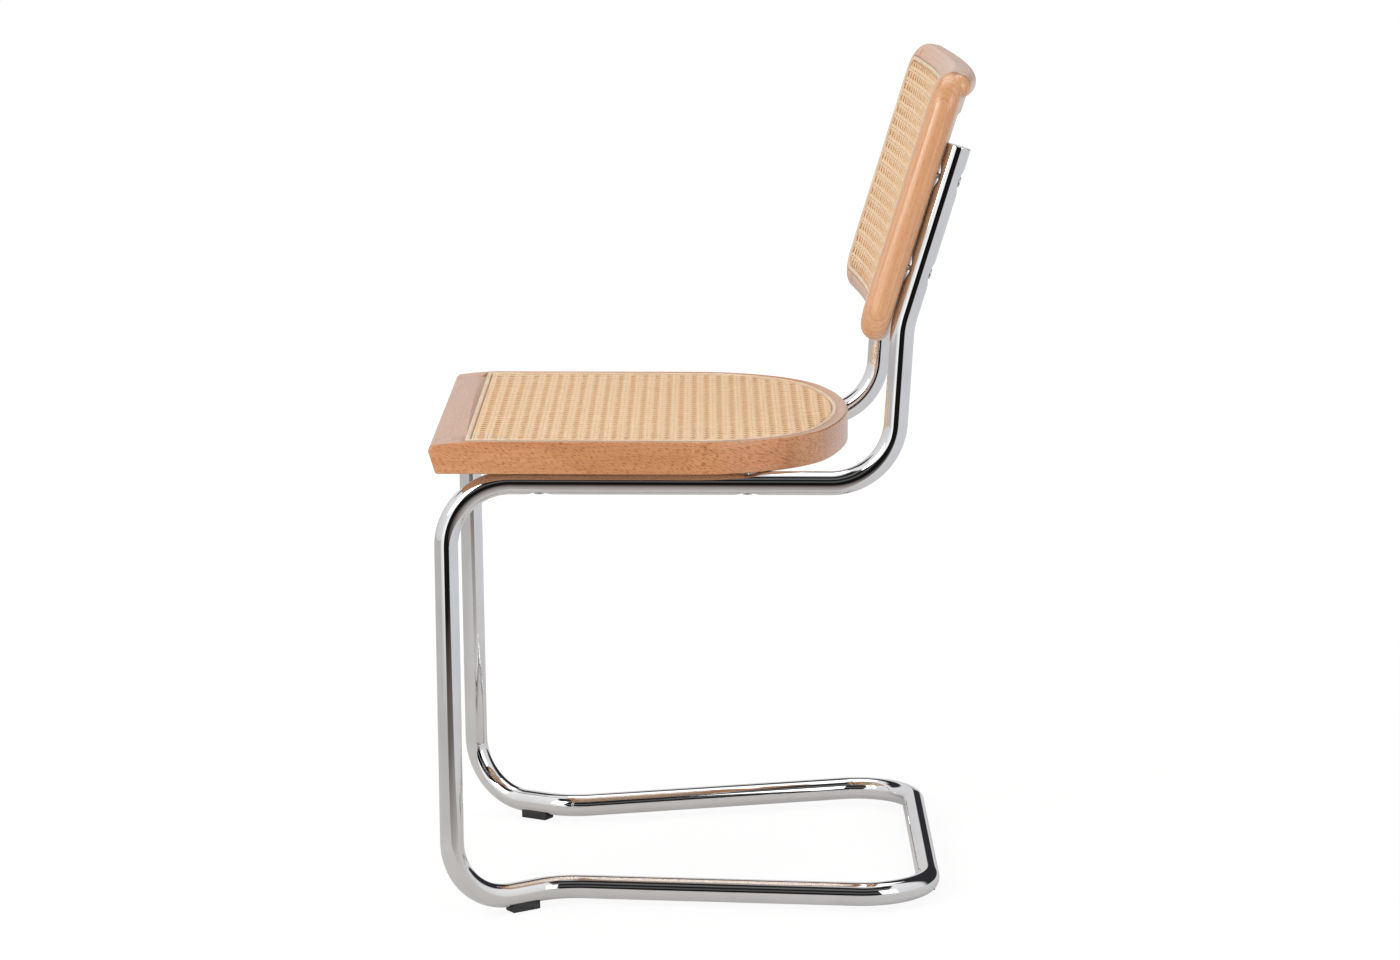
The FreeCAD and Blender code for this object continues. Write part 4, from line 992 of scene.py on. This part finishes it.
def polished_chrome(name):
    """Bright chrome: near mirror, with faint polishing clouds and hairlines."""
    finish = Finish(name, 0.05, metallic=1.0)
    place = finish.object_place()
    clouds = finish.noise(place, 30, 3.0)
    hairs = finish.noise(finish.stretched(place, 60, 60, 2600), 1.0, 2.0)
    finish.paint(finish.ramp(clouds, (0.3, (0.76, 0.76, 0.77, 1)), (0.7, (0.82, 0.82, 0.83, 1))))
    finish.rough(clouds, 0.02, 0.06)
    finish.bump(hairs, 0.012, 0.00005)
    return finish.material


def zinc(name):
    """Bright zinc plated steel: soft grain."""
    finish = Finish(name, 0.28, metallic=1.0)
    place = finish.object_place()
    grain = finish.noise(place, 900, 2.0)
    finish.paint(finish.ramp(grain, (0.3, (0.74, 0.75, 0.77, 1)), (0.7, (0.86, 0.87, 0.88, 1))))
    finish.rough(grain, 0.34, 0.46)
    finish.bump(grain, 0.05, 0.00005)
    return finish.material


def black_plastic(name):
    """Moulded black plastic: fine spark texture, scuffed a little."""
    finish = Finish(name, 0.55)
    place = finish.object_place()
    spark = finish.noise(place, 1800, 2.0)
    scuffs = finish.noise(place, 120, 4.0)
    finish.paint(finish.ramp(scuffs, (0.35, (0.012, 0.012, 0.013, 1)),
                             (0.75, (0.035, 0.035, 0.036, 1))))
    finish.rough(scuffs, 0.45, 0.65)
    finish.bump(spark, 0.15, 0.0001)
    return finish.material


def brass(name):
    """Turned brass."""
    finish = Finish(name, 0.3, metallic=1.0)
    grain = finish.noise(finish.stretched(finish.object_place(), 300, 300, 3000), 1.0, 2.0)
    finish.paint(finish.ramp(grain, (0.3, (0.62, 0.45, 0.18, 1)), (0.7, (0.78, 0.60, 0.28, 1))))
    return finish.material


def dress_nodes(material, *nodes):
    """Material for CAD nodes that are shown as they are."""
    for node in nodes:
        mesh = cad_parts[node].data
        mesh.materials.clear()
        mesh.materials.append(material)


def wood():
    """All members of the two beech frames."""
    seat = beech("beech_seat", light=colour(222, 160, 110), dark=colour(206, 140, 90),
                 fleck=(0.60, 0.45, 0.33, 1), lean=-0.40, ring=(0.92, 0.88, 0.84, 1))
    back = beech("beech_back", light=colour(228, 175, 131), dark=colour(214, 155, 109),
                 fleck=(0.90, 0.84, 0.78, 1), lean=-0.05, ring=(0.86, 0.78, 0.70, 1))
    wood_piece("seat_front_rail", "seat_nose", grain_across(0.3), seat)
    wood_piece("seat_side_rail_right", "seat_right", grain_deep(0.7), seat)
    wood_piece("seat_side_rail_left", "seat_left", grain_deep(1.1), seat)
    wood_piece("seat_rear_bow", "seat_bow", grain_bow, seat)
    wood_piece("back_top_rail", "back_top", grain_back_rail(1.9), back)
    wood_piece("back_bottom_rail", "back_foot", grain_back_rail(2.3), back)
    wood_piece("back_stile_right", "back_right", grain_stile(2.9), back)
    wood_piece("back_stile_left", "back_left", grain_stile(3.3), back)


# Stage: fans of the studio that shine mirrors, as slopes away from the camera's side

FAN_SLOPE = 0.40
FAN_FADED = 0.45
SCREEN = (1.15, 1.15, 1.15, 1)
FLOOR_REACH = 12.0
FLOOR_LEVEL = -0.0002
CHAIR_MIDDLE = (0, 0, 0.4)


def card_edge(nodes, x, y, z):
    """One toward the camera's side within a narrow fan, zero outside it."""
    reach = nodes.sum("ADD", x, nodes.sum("MAXIMUM", z, 0.0))
    slope = nodes.sum("ABSOLUTE", nodes.sum("DIVIDE", y, reach), 0.0)
    fan = nodes.eased(slope, FAN_SLOPE, FAN_FADED, 1.0, 0.0)
    return nodes.sum("MULTIPLY", nodes.eased(x, 0.0, 0.01), fan)


def front_strip(nodes, x, y):
    """One in the fan just in front of the card, where a bright screen stands."""
    slope = nodes.sum("DIVIDE", y, x)
    near = nodes.eased(slope, -FAN_SLOPE, -FAN_FADED)
    fan = nodes.sum("MULTIPLY", near, nodes.eased(slope, -1.4, -0.6))
    return nodes.sum("MULTIPLY", nodes.eased(x, 0.0, 0.01), fan)


def stage():
    """White floor that keeps the chair's soft shadow.

    What shine mirrors of it is warmer in front and cooler behind, and darkens away from the chair
    within the card's fan, brown grey at first and then nearly black."""
    mesh = bpy.data.meshes.new("floor")
    ways = ((-1, -1), (1, -1), (1, 1), (-1, 1))
    corners = [(x * FLOOR_REACH, y * FLOOR_REACH, FLOOR_LEVEL) for x, y in ways]
    mesh.from_pydata(corners, [], [(0, 1, 2, 3)])
    floor = bpy.data.objects.new("floor", mesh)
    bpy.context.scene.collection.objects.link(floor)
    finish = Finish("floor_white", 0.9)
    finish.shader.inputs["Specular IOR Level"].default_value = 0.0
    path = finish.node("ShaderNodeLightPath").outputs
    spot = finish.object_place()
    x, y, z = finish.parts(spot)
    length = finish.node("ShaderNodeVectorMath", operation="LENGTH")
    finish.link(spot, length.inputs[0])
    away = length.outputs["Value"]
    tone = finish.mix(finish.eased(y, -0.2, 0.4), (0.57, 0.56, 0.545, 1), (0.70, 0.71, 0.73, 1))
    screen = finish.sum("MULTIPLY", front_strip(finish, x, y), finish.eased(away, 1.5, 3.5))
    tone = finish.mix(screen, tone, SCREEN)
    dim = finish.mix(finish.eased(x, 1.2, 2.4), (0.185, 0.155, 0.14, 1), (0.010, 0.009, 0.008, 1))
    card = finish.sum("MULTIPLY", finish.eased(x, 0.3, 0.5), card_edge(finish, x, y, z))
    tone = finish.mix(card, tone, dim)
    finish.paint(finish.mix(path["Is Glossy Ray"], (0.84, 0.84, 0.84, 1), (0.72, 0.70, 0.68, 1)))
    shown = finish.node("ShaderNodeEmission", Strength=1.0)
    finish.link(tone, shown.inputs["Color"])
    share = finish.sum("MULTIPLY", path["Is Glossy Ray"], finish.eased(away, 0.3, 1.2, 0.3, 1.0))
    ground = finish.shader_mix(share, finish.shader.outputs[0], shown.outputs[0])
    seen = finish.sum("MAXIMUM", path["Is Camera Ray"], path["Is Transmission Ray"])
    amount = finish.sum("MULTIPLY", seen, finish.eased(away, 0.7, 1.8, 0.84, 1.0))
    glow = finish.node("ShaderNodeEmission", Color=WHITE, Strength=1.05)
    finish.surface(finish.shader_mix(amount, ground, glow.outputs[0]))
    mesh.materials.append(finish.material)


def soft_box(name, place, width, height, power):
    """Rectangular lamp turned to the middle of the chair."""
    lamp = bpy.data.lights.new(name, "AREA")
    lamp.shape = "RECTANGLE"
    lamp.size = width
    lamp.size_y = height
    lamp.energy = power
    holder = bpy.data.objects.new(name, lamp)
    holder.location = place
    aim = Vector(CHAIR_MIDDLE) - Vector(place)
    holder.rotation_euler = aim.to_track_quat("-Z", "Y").to_euler()
    bpy.context.scene.collection.objects.link(holder)


def mirrored_studio(studio):
    """Colour that shine mirrors of the studio, by the direction x, y, z that it looks in.

    It is greyer low down and away from the camera's side. A dark card with paler stripes stands at
    the camera's side, a bright screen in front of it, and a dark corner and band far behind."""
    x, y, z = studio.parts(studio.node("ShaderNodeTexCoord").outputs["Generated"])
    height = studio.ramp(studio.eased(z, -1.0, 1.0),
                         *grey((0.0, 0.60), (0.48, 0.80), (0.60, 0.86), (0.75, 0.94), (1.0, 1.1)))
    tone = studio.mix(1.0, height, studio.eased(x, -1.0, 0.8, 0.85, 1.0), "MULTIPLY")
    tone = studio.mix(front_strip(studio, x, y), tone, SCREEN)
    corner = studio.sum("MULTIPLY", studio.eased(y, 0.04, 0.07), studio.eased(z, 0.0, 0.03))
    corner = studio.sum("MULTIPLY", corner, studio.eased(x, -0.980, -0.972))
    band = studio.sum("MULTIPLY", studio.eased(z, 0.50, 0.56),
                      studio.eased(z, 0.76, 0.82, 1.0, 0.0))
    behind = studio.eased(x, -0.35, -0.20, 1.0, 0.0)
    dark = studio.sum("MULTIPLY", studio.sum("MAXIMUM", corner, band), behind)
    tone = studio.mix(dark, tone, (0.03, 0.03, 0.035, 1))
    card = studio.ramp(z, *grey((0.0, 0.006), (0.20, 0.006), (0.30, 0.11), (0.42, 0.10),
                                (0.50, 0.008), (0.64, 0.008), (0.72, 0.16), (0.79, 0.18),
                                (0.86, 0.02), (0.95, 0.02), (0.99, 0.85)))
    return studio.mix(card_edge(studio, x, y, z), tone, card)


def lights():
    """Plain white world, a studio that only shine mirrors, and three soft boxes."""
    world = bpy.data.worlds.new("studio")
    bpy.context.scene.world = world
    world.use_nodes = True
    studio = Nodes(world.node_tree)
    plain = studio.tree.nodes["Background"]
    plain.inputs["Color"].default_value = WHITE
    plain.inputs["Strength"].default_value = 0.62
    white = studio.node("ShaderNodeBackground", Color=WHITE, Strength=1.0)
    mirror = studio.node("ShaderNodeBackground", Strength=1.0)
    studio.link(mirrored_studio(studio), mirror.inputs["Color"])
    path = studio.node("ShaderNodeLightPath").outputs
    shine = studio.shader_mix(path["Is Glossy Ray"], plain.outputs[0], mirror.outputs[0])
    seen = studio.shader_mix(path["Is Camera Ray"], shine, white.outputs[0])
    studio.link(seen, studio.tree.nodes["World Output"].inputs["Surface"])
    soft_box("key", (2.0, -2.1, 2.0), 1.3, 1.6, 40)
    soft_box("fill", (2.4, 1.8, 1.3), 1.4, 1.8, 18)
    soft_box("top", (-0.8, 0.2, 2.8), 1.8, 1.8, 14)


def camera():
    """Camera solved from the photograph: place, heading, tilt and roll."""
    place = np.array(CAMERA_PLACE) + SHIFT
    level = np.array([-math.cos(CAMERA_YAW), math.sin(CAMERA_YAW), 0.0])
    right = np.array([math.sin(CAMERA_YAW), math.cos(CAMERA_YAW), 0.0])
    up = np.array([0, 0, 1.0])
    ahead = level * math.cos(CAMERA_PITCH) - up * math.sin(CAMERA_PITCH)
    over = up * math.cos(CAMERA_PITCH) + level * math.sin(CAMERA_PITCH)
    axis_x = right * math.cos(CAMERA_ROLL) + over * math.sin(CAMERA_ROLL)
    axis_y = over * math.cos(CAMERA_ROLL) - right * math.sin(CAMERA_ROLL)
    turn = Matrix([list(axis_x), list(axis_y), list(-ahead)]).transposed()
    lens = bpy.data.cameras.new("camera")
    lens.sensor_width = SENSOR_WIDTH
    lens.lens = FOCAL_PIXELS / PHOTO_WIDTH * SENSOR_WIDTH
    lens.clip_end = 100
    holder = bpy.data.objects.new("camera", lens)
    holder.matrix_world = Matrix.Translation(Vector(place.tolist())) @ turn.to_4x4()
    bpy.context.scene.collection.objects.link(holder)
    bpy.context.scene.camera = holder


bpy.context.scene.view_settings.view_transform = "Standard"
frame_tube(polished_chrome("polished_chrome"))
tube_plugs(polished_chrome("polished_cap"))
steel = zinc("zinc_plate")
upward = [station for station in all_stations() if station[1][2] > 0.9]
forward = [station for station in all_stations() if station[1][2] < 0.9]
screw_set("seat_screw_set", "seat_screws", upward, steel)
screw_set("back_screw_set", "back_screws", forward, steel)
wood()
# Painted sheen: the across strands are painted paler than the other families, partly the straw's
# own tone and partly the sheen they show lying along the view; their sides get less painted shade.
straw_with_painted_sheen = cane_strand("cane_across", colour(252, 234, 214), colour(245, 222, 196), 0.5)
straw = cane_strand("cane_deep", colour(252, 224, 186), colour(244, 206, 158), 0.85)
warm_straw = cane_strand("cane_slant", colour(252, 218, 176), colour(244, 200, 150), 0.85)
canes = {"across": straw_with_painted_sheen, "deep": straw,
         "slant_right": warm_straw, "slant_left": warm_straw}
seat_cane(canes)
back_cane(canes)
splines(reed("reed_spline"))
plastic = black_plastic("black_plastic")
merged_copy("front_glides", "front_glide_pair", plastic, 35)
merged_copy("rear_glides", "rear_glide_pair", plastic, 35)
dress_nodes(brass("turned_brass"), "seat_inserts", "back_inserts")
dress_nodes(reed("dowel_wood"), "seat_dowels", "back_dowels")
stage()
lights()
camera()
